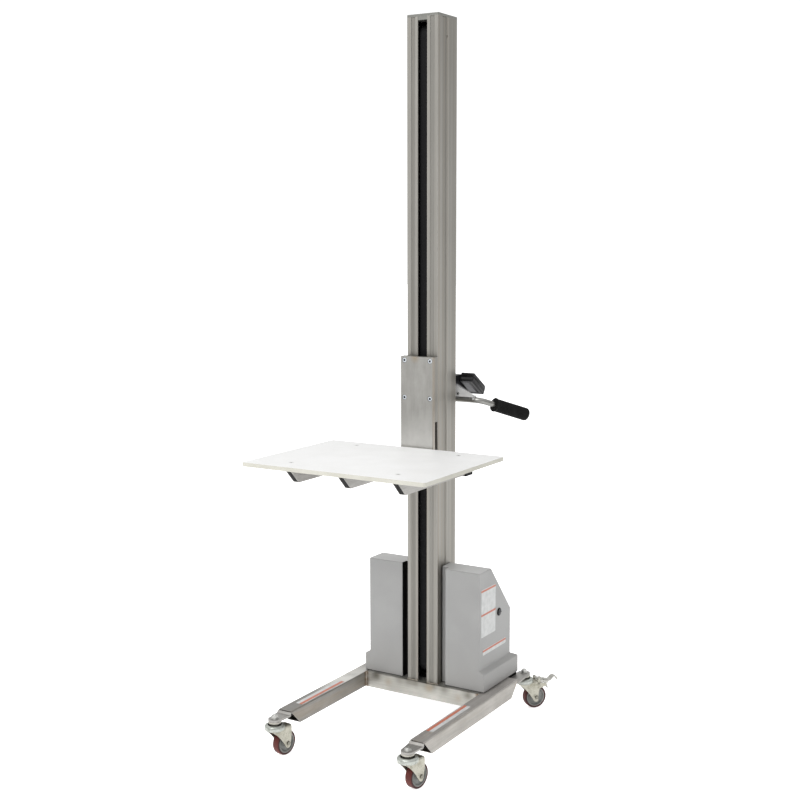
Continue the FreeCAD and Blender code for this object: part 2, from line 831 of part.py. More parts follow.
def board_screws():
    """Flush screws through the board into the two outer arms."""
    screws = []
    for x in (-arm_spacing, arm_spacing):
        for run in (board_screw_front, board_screw_front + board_screw_pitch):
            screw = countersunk(board_screw_radius, board_screw_head, board_screw_length)
            screw.translate(Vector(x, board_front_y + run, board_top_z))
            screws.append(screw)
    return Part.makeCompound(screws)


def rectangle(half_x, y0, y1, z):
    return Part.makePolygon([Vector(-half_x, y0, z), Vector(half_x, y0, z), Vector(half_x, y1, z),
                             Vector(-half_x, y1, z), Vector(-half_x, y0, z)])


def housing_bulk(skin, bottom_z):
    """The housing's form, drawn in by skin on every side but the bottom."""
    front = housing_front_y + skin
    rear = housing_rear_y - skin
    half = housing_half_width - skin
    rise = housing_top_z - housing_chamfer_z
    run = housing_depth - housing_top_depth
    shift = skin * (math.hypot(rise, run) - run) / rise
    drop = skin * (math.hypot(rise, run) - rise) / run
    body = side_prism([
        (front, bottom_z), (front, housing_top_z - skin),
        (housing_front_y + housing_top_depth - shift, housing_top_z - skin),
        (rear, housing_chamfer_z - drop), (rear, bottom_z),
    ], -half, half)
    foot_half = half + flare_out
    foot_rear = rear + flare_back
    slope_z = flare_top_z - flare_slope
    foot = box(-foot_half, foot_half, front, foot_rear, bottom_z, slope_z)
    slope = Part.makeLoft([rectangle(foot_half, front, foot_rear, slope_z),
                           rectangle(half, front, rear, flare_top_z)], True, True)
    return body.fuse([foot, slope]).removeSplitter()


def housing_cover():
    """Folded sheet cover, notched at the front and cut out round the mast."""
    solid = housing_bulk(0, housing_bottom_z)
    notch_rear = housing_front_y + notch_depth
    open_y = housing_front_y - overshoot
    notch = box(-notch_half_width, notch_half_width, open_y, notch_rear, 0, mast_top_z)
    hollow = housing_bulk(housing_wall, housing_bottom_z - overshoot)
    wide = notch_half_width + housing_wall
    hollow = hollow.cut(box(-wide, wide, open_y, notch_rear + housing_wall, 0, mast_top_z))
    shell = solid.cut(notch).cut(hollow)
    hole_half = mast_width / 2 + mast_hole_gap
    mast_hole = box(-hole_half, hole_half, open_y, mast_depth + mast_hole_gap, 0, mast_top_z)
    hole_x = housing_half_width - housing_wall - overshoot
    switch_hole = rod(Vector(hole_x, switch_y, switch_z), Vector(1, 0, 0), knob_radius + knob_gap,
                      housing_wall + 2 * overshoot)
    return shell.cut(mast_hole).cut(switch_hole)


def housing_floor():
    """Pan on the legs and cross tubes that the cover stands on."""
    half = housing_half_width + flare_out - floor_inset
    rear = housing_rear_y + flare_back - floor_inset
    pan = box(-half, half, housing_front_y + floor_front_gap, rear, leg_top_z, housing_bottom_z)
    hole_half = mast_width / 2 + mast_hole_gap
    slot = box(-hole_half, hole_half, 0, mast_depth + mast_hole_gap, 0, mast_top_z)
    notch = box(-notch_half_width, notch_half_width, 0, housing_front_y + notch_depth, 0, mast_top_z)
    return pan.cut(slot).cut(notch)


def battery_pack():
    """Two sealed batteries side by side, left of the mast."""
    top_z = housing_bottom_z + battery_height
    batteries = []
    for index in range(battery_count):
        right_x = -mast_width / 2 - battery_gap - index * (battery_width + battery_gap)
        left_x = right_x - battery_width
        case = box(left_x, right_x, battery_y, battery_y + battery_depth, housing_bottom_z, top_z)
        posts = [rod(Vector((left_x + right_x) / 2, battery_y + run, top_z), Vector(0, 0, 1),
                     battery_post_radius, battery_post_height)
                 for run in (battery_post_inset, battery_depth - battery_post_inset)]
        batteries.append(case.fuse(posts))
    return Part.makeCompound(batteries)


def drive_unit():
    """Worm gearbox on the mast's right flank with an upright motor above it."""
    wide, deep, high = gearbox_size
    left_x = mast_width / 2
    low_z = drive_pulley_z - high / 2
    case = box(left_x, left_x + wide, gearbox_y, gearbox_y + deep, low_z, low_z + high)
    bore = rod(Vector(left_x - overshoot, pulley_y, drive_pulley_z), Vector(1, 0, 0),
               drive_shaft_radius + shaft_clearance, drive_shaft_reach + 2 * overshoot)
    save("gearbox", case.cut(bore))
    foot = Vector(left_x + motor_radius + motor_gap, gearbox_y + motor_radius, low_z + high)
    body = rod(foot, Vector(0, 0, 1), motor_radius, motor_length)
    tail = rod(foot + Vector(0, 0, motor_length), Vector(0, 0, 1), motor_tail_radius, motor_tail_length)
    save("drive_motor", body.fuse(tail).removeSplitter())


def power_switch():
    """Round bezel on the housing's right flank with a knob that turns in it."""
    wall_x = housing_half_width
    across = Vector(1, 0, 0)
    inner_x = wall_x - housing_wall
    way = rod(Vector(inner_x - overshoot, switch_y, switch_z), across, knob_radius + knob_gap, switch_depth)
    ring = rod(Vector(wall_x, switch_y, switch_z), across, bezel_radius, bezel_height)
    body = rod(Vector(inner_x - switch_depth, switch_y, switch_z), across, switch_radius, switch_depth)
    save("switch_bezel", Part.makeCompound([ring.cut(way), body.cut(way)]))
    tip_x = wall_x + bezel_height + knob_height
    knob = rod(Vector(inner_x, switch_y, switch_z), across, knob_radius, tip_x - inner_x)
    start_x = wall_x + bezel_height + overshoot
    for y0 in (switch_y - knob_radius - overshoot, switch_y + knob_bar / 2):
        knob = knob.cut(box(start_x, tip_x + overshoot, y0, y0 + knob_radius + overshoot - knob_bar / 2,
                            switch_z - knob_radius - overshoot, switch_z + knob_radius + overshoot))
    save("power_knob", knob)


def label_plates():
    """Blank labels: three on the housing's right flank and one on top of each leg."""
    skin_x = housing_half_width
    plates = []
    for front_y, wide, low_z, high in (
            (notice_y, notice_width, notice_z + notice_height + seat_gap, notice_height),
            (notice_y, notice_width, notice_z, notice_height),
            (strip_y, strip_width, strip_z, strip_height)):
        plates.append(box(skin_x, skin_x + label_thickness, front_y, front_y + wide, low_z, low_z + high))
    leg_label = box(leg_centre_x - leg_label_inner, leg_centre_x + leg_label_outer, leg_label_y,
                    leg_label_y + leg_label_length, leg_top_z, leg_top_z + label_thickness)
    plates += [leg_label, mirrored(leg_label)]
    return Part.makeCompound(plates)


def housing():
    save("housing_cover", housing_cover())
    save("housing_floor", housing_floor())
    save("batteries", battery_pack())
    drive_unit()
    power_switch()
    save("label_plates", label_plates())


def grip_direction():
    azimuth = math.radians(grip_azimuth)
    drop = math.radians(grip_drop)
    return Vector(math.cos(azimuth) * math.cos(drop), math.sin(azimuth) * math.cos(drop), -math.sin(drop))


def handle_path(reach):
    """Centre line from the middle of the bar, round one bend, and out through the grip."""
    corner = Vector(handle_corner_x, handle_y, handle_z)
    outward = grip_direction()
    turn = math.acos(outward.x)
    tangent = handle_bend * math.tan(turn / 2)
    bend_in = corner - Vector(tangent, 0, 0)
    bend_out = corner + outward * tangent
    inward = (outward - Vector(1, 0, 0)).normalize()
    middle = corner + inward * (handle_bend / math.cos(turn / 2) - handle_bend)
    end = corner + outward * reach
    return Part.Wire([
        Part.LineSegment(Vector(0, handle_y, handle_z), bend_in).toShape(),
        Part.Arc(bend_in, middle, bend_out).toShape(),
        Part.LineSegment(bend_out, end).toShape(),
    ])


def bar(radius, reach):
    ring = Part.Wire(Part.makeCircle(radius, Vector(0, handle_y, handle_z), Vector(1, 0, 0)))
    return handle_path(reach).makePipeShell([ring], True, True)


def handlebar():
    reach = grip_start + grip_length - grip_wall
    right = bar(handle_radius, reach).cut(bar(handle_radius - handle_wall, reach + 1))
    return right.fuse(mirrored(right)).removeSplitter()


def grip():
    """Rubber sleeve with a thumb flange and a domed end, along the bar's direction."""
    outer = grip_radius
    length = grip_length
    body = turned([
        (0, 0), (grip_flange_radius, 0), (grip_flange_radius, grip_flange - grip_flange_edge),
        (outer, grip_flange + grip_flange_slope), (outer, length - grip_end_round),
        (outer - grip_dome_in, length - grip_dome_back), (outer - grip_cap_in, length), (0, length),
    ], Vector(0, 0, 0), Vector(0, 0, 1))
    body = body.cut(rod(Vector(0, 0, -1), Vector(0, 0, 1), handle_radius, length - grip_wall + 1))
    start = Vector(handle_corner_x, handle_y, handle_z) + grip_direction() * grip_start
    body.Placement = FreeCAD.Placement(start, Rotation(Vector(0, 0, 1), grip_direction()))
    return body


def handle_bracket():
    """Light bracket: flange on the mast, two webs, and a cross plate with ears on the bar."""
    thick = bracket_thickness
    low = handle_z + handle_radius
    high = low + bracket_height
    web = box(bracket_web_x - thick, bracket_web_x, mast_depth, bracket_plate_y, low, high)
    flange = box(-bracket_web_x, bracket_web_x, mast_depth, mast_depth + thick, low, high)
    plate_rear_y = bracket_plate_y + thick
    plate = box(-bracket_half_width, bracket_half_width, bracket_plate_y, plate_rear_y, low, high)
    ear = box(bracket_half_width - thick, bracket_half_width, bracket_plate_y, handle_y + handle_radius,
              handle_z, high - control_edge)
    bar_way = rod(Vector(-bracket_half_width - overshoot, handle_y, handle_z), Vector(1, 0, 0),
                  handle_radius, 2 * (bracket_half_width + overshoot))
    bracket = flange.fuse([web, mirrored(web), plate, ear, mirrored(ear)]).removeSplitter()
    return bracket.cut(bar_way).cut(control_way())


def control_block(x0, x1, s0, s1, t0, t1):
    """Box in the hand control's tilted frame: s down its face, t out of its face."""
    block = box(x0, x1, s0, s1, t0, t1)
    block.rotate(Vector(0, 0, 0), Vector(1, 0, 0), -control_tilt)
    block.translate(Vector(0, control_top_y, control_top_z))
    return block


def control_point(x, s, t):
    tilt = math.radians(control_tilt)
    return Vector(x, control_top_y + s * math.cos(tilt) + t * math.sin(tilt),
                  control_top_z - s * math.sin(tilt) + t * math.cos(tilt))


def control_way():
    """Room that the hand control takes out of the parts round it."""
    left = control_left_x - seat_gap
    right = control_left_x + control_width + seat_gap
    return control_block(left, right, -seat_gap, control_length + seat_gap,
                         -control_thickness - back_thickness - seat_gap, 0)


def control_holder():
    """Black arm from the back of the mast to the left cheek of the hand control."""
    low = handle_z + handle_radius + bracket_height
    high = low + holder_height
    reach = control_top_y + holder_reach
    outline = [
        (mast_depth, low), (mast_depth, high), (control_top_y - holder_step, high),
        (reach - holder_step, low + holder_step), (reach, low),
    ]
    return side_prism(outline, holder_left_x, control_left_x)


def hand_control():
    left = control_left_x
    right = left + control_width
    length = control_length
    thick = control_thickness
    wall = control_wall
    across = Vector(1, 0, 0)
    shell = control_block(left, right, 0, length, -thick, 0)
    nose = [edge for edge in edges_along(shell, across)
            if (edge.CenterOfMass - control_point((left + right) / 2, length, 0)).Length < tolerance]
    shell = shell.makeFillet(control_nose, nose)
    crown = [edge for edge in edges_along(shell, across)
             if (edge.CenterOfMass - control_point((left + right) / 2, 0, 0)).Length < tolerance]
    shell = shell.makeFillet(control_edge, crown)
    inner_end = length - control_nose
    cavity = control_block(left + wall, right - wall, wall, inner_end, wall - thick, -face_thickness - wall)
    margin = face_margin
    face_start = margin + control_edge
    face_end = inner_end - face_end_gap
    window = control_block(left + margin, right - margin, face_start, face_end, -face_thickness, overshoot)
    lip = margin + face_lip
    well = control_block(left + lip, right - lip, face_start + face_lip, face_end - face_lip,
                         -face_thickness - wall - overshoot, 0)
    save("control_housing", shell.cut(cavity).cut(window).cut(well))
    save("control_back", control_block(left + back_margin, right - back_margin, back_margin,
                                       inner_end - back_end_gap, -thick - back_thickness, -thick))
    face = control_block(left + margin, right - margin, face_start, face_end, -face_thickness, 0)
    out = control_point(0, 0, 1) - control_point(0, 0, 0)
    middle = (left + right) / 2
    for node, place in (("up_button", button_place), ("down_button", button_place + button_pitch)):
        start = control_point(middle, place, -button_depth)
        face = face.cut(rod(start, out, button_radius + button_gap, button_depth + overshoot))
        save(node, rod(start, out, button_radius, button_depth + button_height))
    save("control_face", face)


def handle():
    save("handlebar", handlebar())
    right = grip()
    save("grip_right", right)
    save("grip_left", mirrored(right))
    save("handle_bracket", handle_bracket())
    save("control_holder", control_holder())
    hand_control()


os.makedirs("parts", exist_ok=True)
base_frame()
casters()
mast_and_drive()
carriage()
platform()
housing()
handle()
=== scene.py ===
import json
import math
import random

import bmesh
import bpy
from mathutils import Matrix, Vector


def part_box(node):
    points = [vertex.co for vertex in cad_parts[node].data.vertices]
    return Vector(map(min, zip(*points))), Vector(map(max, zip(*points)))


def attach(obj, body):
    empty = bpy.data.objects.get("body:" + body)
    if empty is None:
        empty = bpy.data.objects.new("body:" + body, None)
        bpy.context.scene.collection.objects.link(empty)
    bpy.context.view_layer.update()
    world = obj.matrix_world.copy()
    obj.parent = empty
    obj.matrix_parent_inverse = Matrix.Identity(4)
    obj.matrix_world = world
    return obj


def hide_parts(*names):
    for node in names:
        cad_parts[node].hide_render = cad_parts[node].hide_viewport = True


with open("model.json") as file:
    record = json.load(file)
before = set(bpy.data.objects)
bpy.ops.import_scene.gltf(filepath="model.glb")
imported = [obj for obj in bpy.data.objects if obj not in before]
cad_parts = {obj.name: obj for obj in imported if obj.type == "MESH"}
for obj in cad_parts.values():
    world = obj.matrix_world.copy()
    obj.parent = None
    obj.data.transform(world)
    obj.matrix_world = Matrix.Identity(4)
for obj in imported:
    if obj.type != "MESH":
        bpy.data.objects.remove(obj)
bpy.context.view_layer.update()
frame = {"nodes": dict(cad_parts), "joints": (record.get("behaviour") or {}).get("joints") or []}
nodes = frame["nodes"]
joints = {joint["name"]: joint for joint in frame["joints"]}
dice = random.Random(11)
tiny = 1e-6
sides = (-1, 1)


# the camera stands to the right of the front, a little above the handle
cameraSizes = {
    "place": (1.9729, -3.3184, 1.5448),
    "yaw": 31.198,
    "pitch": 7.442,
    "roll": -0.111,
    "lens": 57.67,
    "sensor": 36.0,
    "sight": 200,
}


def placeCamera(s):
    yaw, pitch, roll = (math.radians(s[key]) for key in ("yaw", "pitch", "roll"))
    back = Vector((math.sin(yaw) * math.cos(pitch), -math.cos(yaw) * math.cos(pitch), math.sin(pitch)))
    right = Vector((math.cos(yaw), math.sin(yaw), 0))
    up = back.cross(right)
    across = right * math.cos(roll) + up * math.sin(roll)
    upright = up * math.cos(roll) - right * math.sin(roll)
    turn = Matrix((across, upright, back)).transposed()
    lens = bpy.data.cameras.new("camera")
    lens.lens = s["lens"]
    lens.sensor_width = s["sensor"]
    lens.clip_end = s["sight"]
    camera = bpy.data.objects.new("camera", lens)
    camera.matrix_world = Matrix.Translation(s["place"]) @ turn.to_4x4()
    bpy.context.scene.collection.objects.link(camera)
    bpy.context.scene.camera = camera


placeCamera(cameraSizes)
print("camera placed")


class Wire:  # a socket that takes part in sums
    def __init__(self, finish, socket):
        self.finish = finish
        self.socket = socket

    def maths(self, kind, first, second):
        return self.finish.add("Math", {0: first, 1: second}, operation=kind)

    def __add__(self, other):
        return self.maths("ADD", self, other)

    def __sub__(self, other):
        return self.maths("SUBTRACT", self, other)

    def __mul__(self, other):
        return self.maths("MULTIPLY", self, other)

    def __rsub__(self, other):
        return self.maths("SUBTRACT", other, self)

    __radd__ = __add__
    __rmul__ = __mul__

    def away(self):
        return self.maths("ABSOLUTE", self, 0.0)

    def ramped(self, low, high):  # 0 under low, 1 over high, smooth between
        sockets = {"Value": self, "From Min": low, "From Max": high}
        return self.finish.add("MapRange", sockets, interpolation_type="SMOOTHSTEP")

    def within(self, low, rise, fall, high):  # 1 from rise to fall, 0 outside low to high
        return self.ramped(low, rise) * (1.0 - self.ramped(fall, high))


def blend(wires, shares):
    total = wires[0] * shares[0]
    for wire, share in zip(wires[1:], shares[1:]):
        total = total + wire * share
    return total


class Finish:  # a material built from sums of wires
    def __init__(self, name, steady):
        self.material = bpy.data.materials.new(name)
        self.material.use_nodes = True
        self.tree = self.material.node_tree
        self.tree.nodes.clear()
        self.surface = self.tree.nodes.new("ShaderNodeBsdfPrincipled")
        output = self.tree.nodes.new("ShaderNodeOutputMaterial")
        self.tree.links.new(self.surface.outputs["BSDF"], output.inputs["Surface"])
        self.place = self.add("TexCoord", pick="Object")
        for key, value in steady.items():
            self.surface.inputs[key].default_value = value

    def add(self, kind, sockets=(), pick=0, **settings):
        node = self.tree.nodes.new("ShaderNode" + kind)
        for key, value in settings.items():
            setattr(node, key, value)
        for key, value in dict(sockets).items():
            if isinstance(value, Wire):
                self.tree.links.new(value.socket, node.inputs[key])
            else:
                node.inputs[key].default_value = value
        return Wire(self, node.outputs[pick])

    def noise(self, scale, detail, rough, stretch=(1, 1, 1)):
        spread = self.add("Mapping", {"Vector": self.place, "Scale": stretch})
        return self.add("TexNoise", {"Vector": spread, "Scale": scale, "Detail": detail, "Roughness": rough})

    def mixed(self, amount, first, second):  # colours are wires or (red, green, blue)
        first, second = (part if isinstance(part, Wire) else (*part, 1.0) for part in (first, second))
        return self.add("Mix", {0: amount, 6: first, 7: second}, 2, data_type="RGBA")

    def part(self, axis):  # one coordinate of the place
        return self.add("SeparateXYZ", {"Vector": self.place}, axis)

    def near(self, point, reach):  # 1 at a point, fading to 0 at reach
        gap = self.add("VectorMath", {0: self.place, 1: point}, "Value", operation="DISTANCE")
        return 1.0 - gap.ramped(0.0, reach)

    def link(self, wire, socket):
        self.tree.links.new(wire.socket, self.surface.inputs[socket])

    def done(self, colour, rough, height, depth, strength=1.0):  # depth in metres
        sockets = {"Height": height, "Strength": strength, "Distance": depth}
        self.link(colour, "Base Color")
        self.link(rough, "Roughness")
        self.link(self.add("Bump", sockets, "Normal"), "Normal")
        return self.material


def dimmed(colour, share):
    return tuple(part * share for part in colour)


steelSizes = {
    "metal": 0.72,
    "fine": 420.0,
    "cloud": 9.0,
    "patch": 36.0,
    "run": 63.0,
    "stretch": 0.03,
    "runSquash": 0.6,
    "shares": (0.35, 0.4, 0.25),
    "toneRange": (0.32, 0.68),
    "runRange": (0.52, 0.66),
    "markGrainRange": (0.3, 0.6),
    "runTint": (0.33, 0.26, 0.18),
    "gloss": 0.3,
    "haze": 0.22,
    "scratch": 0.00004,
}


def brushedSteel(name, along, bright, dark, stainsAndLight=(), streaks=0.0):
    s = steelSizes
    steel = Finish(name, {"Metallic": s["metal"]})
    stretch = [1.0, 1.0, 1.0]
    stretch[along] = s["stretch"]
    lines = steel.noise(s["fine"], 4.0, 0.6, stretch)
    clouds = steel.noise(s["cloud"], 5.0, 0.6)
    patches = steel.noise(s["patch"], 3.0, 0.5, stretch)
    tone = blend((lines, clouds, patches), s["shares"])
    colour = steel.mixed(tone.ramped(*s["toneRange"]), dark, bright)
    if streaks:
        runs = steel.noise(s["run"], 2.0, 0.5, dimmed(stretch, s["runSquash"]))
        colour = steel.mixed(runs.ramped(*s["runRange"]) * streaks, colour, s["runTint"])
    # entries hold real stains and painted light: painted shade in the slot, a painted highlight on the left
    # leg's top
    for point, reach, markTint in stainsAndLight:
        grain = clouds.ramped(*s["markGrainRange"])
        colour = steel.mixed(steel.near(point, reach) * (grain * 0.5 + 0.5), colour, markTint)
    return steel.done(colour, s["gloss"] + tone * s["haze"], lines, s["scratch"])


plasticSizes = {
    "haze": 24.0,
    "hazeRange": (0.42, 0.72),
    "hazeGloss": 0.14,
    "relief": 0.7,
}


def mouldedPlastic(name, body, worn, gloss=0.45, sheen=0.5, grain=900.0, depth=0.00004):
    s = plasticSizes
    plastic = Finish(name, {"Metallic": 0.0, "Specular IOR Level": sheen})
    texture = plastic.noise(grain, 2.0, 0.5)
    haze = plastic.noise(s["haze"], 4.0, 0.6)
    colour = plastic.mixed(haze.ramped(*s["hazeRange"]), body, worn)
    return plastic.done(colour, gloss + haze * s["hazeGloss"], texture, depth, s["relief"])


stainAndLightSizes = {
    "weldTint": (0.17, 0.095, 0.045),
    "weldReach": 0.016,
    "weldLow": 0.006,
    "weldHigh": 0.004,
    "grime": (0.16, 0.15, 0.125),
    "rust": (0.34, 0.29, 0.225),
    "slotShade": (0.012, 0.012, 0.012),
    "footX": (0.018, 0.046),
    "footGap": 0.006,
    "footReach": 0.032,
    "tube": (  # (x, drop, reach, kind) along the front tube
        (-0.165, 0.006, 0.030, "grime"), (-0.120, 0.020, 0.022, "rust"), (-0.078, 0.004, 0.026, "grime"),
        (0.030, 0.012, 0.024, "rust"), (0.085, 0.004, 0.030, "grime"), (0.135, 0.026, 0.020, "rust"),
        (0.168, 0.010, 0.030, "grime")),
    "slotRuns": (0.010, 0.026, 0.042),
    "slotReach": 0.030,
    "legSpot": (0.252, 0.236, 0.026),
    "legReach": 0.026,
    "paintedHighlight": (0.74, 0.73, 0.69),
    "paintedHighlightX": 0.030,
    "paintedHighlightY": -0.015,
    "paintedHighlightReach": 0.20,
}


def listStainsAndLight(s):  # (point, reach, tint) lists for the weld and tube stains, the painted shade in the slot, the leg stains and the painted highlight on the left leg's top
    low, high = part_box("front_cross_tube")
    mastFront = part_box("mast")[0].y
    legLow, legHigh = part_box("leg_left")
    welds = []
    for side in sides:
        for bottom, top in ((low, high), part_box("rear_cross_tube")):
            for y in (bottom.y, top.y):
                for z in (bottom.z + s["weldLow"], (bottom.z + top.z) / 2, top.z - s["weldHigh"]):
                    welds.append(((side * top.x, y, z), s["weldReach"], s["weldTint"]))
    tube = [((side * x, mastFront - s["footGap"], high.z), s["footReach"], s["grime"])
            for side in sides for x in s["footX"]]
    tube += [((x, low.y, high.z - drop), reach, s[kind]) for x, drop, reach, kind in s["tube"]]
    # painted shade on the mast foot inside the mast, under the slot
    slot = [((0, mastFront + run, high.z), s["slotReach"], s["slotShade"]) for run in s["slotRuns"]] * 2
    x, y, rise = s["legSpot"]
    legs = [((side * x, y, low.z + rise), s["legReach"], s["rust"]) for side in sides]
    # a painted highlight on the left leg's top
    paintedHighlight = [((legLow.x + s["paintedHighlightX"], s["paintedHighlightY"], legHigh.z), s["paintedHighlightReach"], s["paintedHighlight"])]
    return welds, tube, slot, legs, paintedHighlight


weldStains, tubeStains, slotShading, legStains, leftTopHighlight = listStainsAndLight(stainAndLightSizes)
legSteel = brushedSteel("legSteel", 1, (0.47, 0.45, 0.42), (0.30, 0.285, 0.26), weldStains + legStains, 0.5)
# the left leg takes a darker copy of the steel as painted shade
shadedLeftSteel = brushedSteel("shadedLeftSteel", 1, (0.34, 0.33, 0.31), (0.20, 0.19, 0.175), weldStains + legStains, 0.3)
# the leg tops take painted light: a darker copy with a painted highlight on the left, a lighter copy on the
# right
shadedLeftTop = brushedSteel("shadedLeftTop", 1, (0.31, 0.30, 0.28), (0.20, 0.19, 0.175), leftTopHighlight, 0.2)
litRightTop = brushedSteel("litRightTop", 1, (0.58, 0.555, 0.53), (0.38, 0.36, 0.34), (), 0.2)
tubeSteel = brushedSteel("tubeSteel", 0, (0.60, 0.59, 0.55), (0.38, 0.37, 0.34), weldStains + tubeStains, 0.4)
footSteel = brushedSteel("footSteel", 0, (0.34, 0.33, 0.31), (0.2, 0.19, 0.175), slotShading)
tongueSteel = brushedSteel("tongueSteel", 1, (0.42, 0.41, 0.39), (0.27, 0.26, 0.245))
beamSteel = brushedSteel("beamSteel", 0, (0.44, 0.43, 0.41), (0.30, 0.29, 0.275))
armSteel = brushedSteel("armSteel", 1, (0.43, 0.42, 0.40), (0.27, 0.26, 0.245))
capAlloy = brushedSteel("capAlloy", 0, (0.30, 0.30, 0.277), (0.21, 0.21, 0.193))
bracketSteel = mouldedPlastic("bracketPaint", (0.56, 0.56, 0.555), (0.64, 0.64, 0.635))


alloySizes = {
    "fine": 260.0,
    "fineRun": 0.004,
    "wideRun": 0.006,
    "shares": (0.3, 0.45, 0.25),
    "toneRange": (0.33, 0.67),
    "reliefShares": (0.4, 0.6),
    "relief": 0.00006,
    "front": (0.003, 0.006),
    "frontGroove": (0.022, 0.031, 0.036, 0.045),
    "sideGroove": (0.020, 0.030, 0.050, 0.062),
    "side": (0.048, 0.051),
    "sideFront": (0.004, 0.014),
    "sideRear": (0.060, 0.066),
    "shadows": (0.30, 0.20, 0.22, 0.16, 0.12),
    "shadow": (0.10, 0.097, 0.088),
    "line": 120.0,
    "lineRun": 0.002,
    "lineRange": (0.50, 0.66),
    "lineShare": 0.35,
    "lineTint": (0.40, 0.345, 0.275),
    "flank": (0.9, 0.3),
    "flankShare": 0.06,
}


def drawnAlloy(name, bright, dark, wideScale, hazeScale, hazeSquash, gloss, hazeGloss, column=None):
    s = alloySizes
    alloy = Finish(name, {"Metallic": 1.0})
    fine = alloy.noise(s["fine"], 4.0, 0.65, (1, 1, s["fineRun"]))
    wide = alloy.noise(wideScale, 2.0, 0.5, (1, 1, s["wideRun"]))
    haze = alloy.noise(hazeScale, 4.0, 0.55, (1, 1, hazeSquash))
    tone = blend((fine, wide, haze), s["shares"])
    colour = alloy.mixed(tone.ramped(*s["toneRange"]), dark, bright)
    if column:  # painted shade darkens the mast down its grooves, over its front face, near the front and rear of its sides and low on its sides; warm tarnish runs in long streaks
        across = alloy.part(0).away()
        deep = alloy.part(1) - column.y
        side = across.ramped(*s["side"])
        front = 1.0 - deep.ramped(*s["front"])
        frontGroove = across.within(*s["frontGroove"]) * front
        sideGroove = deep.within(*s["sideGroove"]) * side
        sideFront = (1.0 - deep.ramped(*s["sideFront"])) * (1.0 - front)
        sideRear = deep.ramped(*s["sideRear"]) * side
        shadow = blend((frontGroove, sideGroove, sideFront, sideRear, front), s["shadows"])
        lines = alloy.noise(s["line"], 2.0, 0.5, (1, 1, s["lineRun"]))
        colour = alloy.mixed(lines.ramped(*s["lineRange"]) * s["lineShare"], colour, s["lineTint"])
        flank = (alloy.part(2) - column.z).ramped(*s["flank"]) * side
        shadow = shadow + (1.0 - shadow) * flank * s["flankShare"]
        colour = alloy.mixed(shadow, colour, s["shadow"])
    return alloy.done(colour, gloss + haze * hazeGloss, blend((fine, wide), s["reliefShares"]), s["relief"])


mastLow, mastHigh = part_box("mast")
mastAlloy = drawnAlloy("mastAlloy", (0.43, 0.418, 0.388), (0.31, 0.298, 0.272), 70.0, 4.0, 0.5, 0.42, 0.16,
                       mastLow)
# the block is darker than the mast as painted shade between the plate and the mast
shadedBlockAlloy = drawnAlloy("shadedBlockAlloy", (0.36, 0.345, 0.315), (0.24, 0.23, 0.21), 45.0, 3.0, 1, 0.3, 0.2)


milledSizes = {
    "metal": 0.8,
    "shares": (0.6, 0.28, 0.12),
    "toneRange": (0.34, 0.66),
    "dark": (0.285, 0.279, 0.262),
    "bright": (0.375, 0.368, 0.348),
    "paleFoot": (0.02, 0.19),
    "paleFootTint": (0.80, 0.79, 0.76),
    "dripX": -0.008,
    "dripDrop": 0.004,
    "dripReach": 0.022,
    "dripTint": (0.30, 0.235, 0.155),
    "rim": (0.006, 0.002),
    "rimTint": (0.30, 0.25, 0.19),
    "gloss": 0.32,
    "haze": 0.22,
    "relief": 0.00004,
}


def milledPlate(name, s):  # hand finished, cloudy, paler towards its foot, with a drip and a brownish right edge
    low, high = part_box("carriage_plate")
    plate = Finish(name, {"Metallic": s["metal"]})
    streaks = plate.noise(330.0, 3.0, 0.6, (1, 1, 0.05))
    clouds = plate.noise(13.0, 6.0, 0.62, (1, 1, 0.7))
    smears = plate.noise(30.0, 3.0, 0.5, (1.6, 1, 0.35))
    tone = blend((clouds, smears, streaks), s["shares"])
    colour = plate.mixed(tone.ramped(*s["toneRange"]), s["dark"], s["bright"])
    paleFoot = 1.0 - (plate.part(2) - low.z).ramped(*s["paleFoot"])
    colour = plate.mixed(paleFoot * (0.4 + clouds * 0.6), colour, s["paleFootTint"])
    drip = plate.near((s["dripX"], low.y, high.z - s["dripDrop"]), s["dripReach"])
    colour = plate.mixed(drip * (0.4 + smears * 0.4), colour, s["dripTint"])
    rim = plate.part(0).ramped(high.x - s["rim"][0], high.x - s["rim"][1])
    colour = plate.mixed(rim * 0.5, colour, s["rimTint"])
    return plate.done(colour, s["gloss"] + clouds * s["haze"], streaks, s["relief"])


plateAlloy = milledPlate("plateAlloy", milledSizes)


paintSizes = {
    "peel": 520.0,
    "haze": 5.0,
    "hazeRange": (0.35, 0.65),
    "rub": 70.0,
    "rubRange": (0.64, 0.74),
    "rubShare": 0.25,
    "dull": 0.9,
    "lowDarkening": (0.0, 0.16),
    "lowDarkTint": (0.30, 0.295, 0.285),
    "relief": 0.00003,
}


def sprayedPaint(name, body, grit, floor=None):  # stoved paint with orange peel and a few rubbed spots
    s = paintSizes
    paint = Finish(name, {"Metallic": 0.0, "Coat Roughness": 0.3})
    peel = paint.noise(s["peel"], 2.0, 0.5)
    haze = paint.noise(s["haze"], 4.0, 0.5)
    rubs = paint.noise(s["rub"], 5.0, 0.7).ramped(*s["rubRange"])
    colour = paint.mixed(haze.ramped(*s["hazeRange"]), dimmed(body, s["dull"]), body)
    colour = paint.mixed(rubs * s["rubShare"], colour, grit)
    if floor is not None:  # darker over the lowest stretch
        lowDarkening = 1.0 - (paint.part(2) - floor).ramped(*s["lowDarkening"])
        colour = paint.mixed(lowDarkening * (0.45 + haze * 0.4), colour, s["lowDarkTint"])
    return paint.done(colour, 0.38 + haze * 0.14 + rubs * 0.1, peel, s["relief"], 0.6)


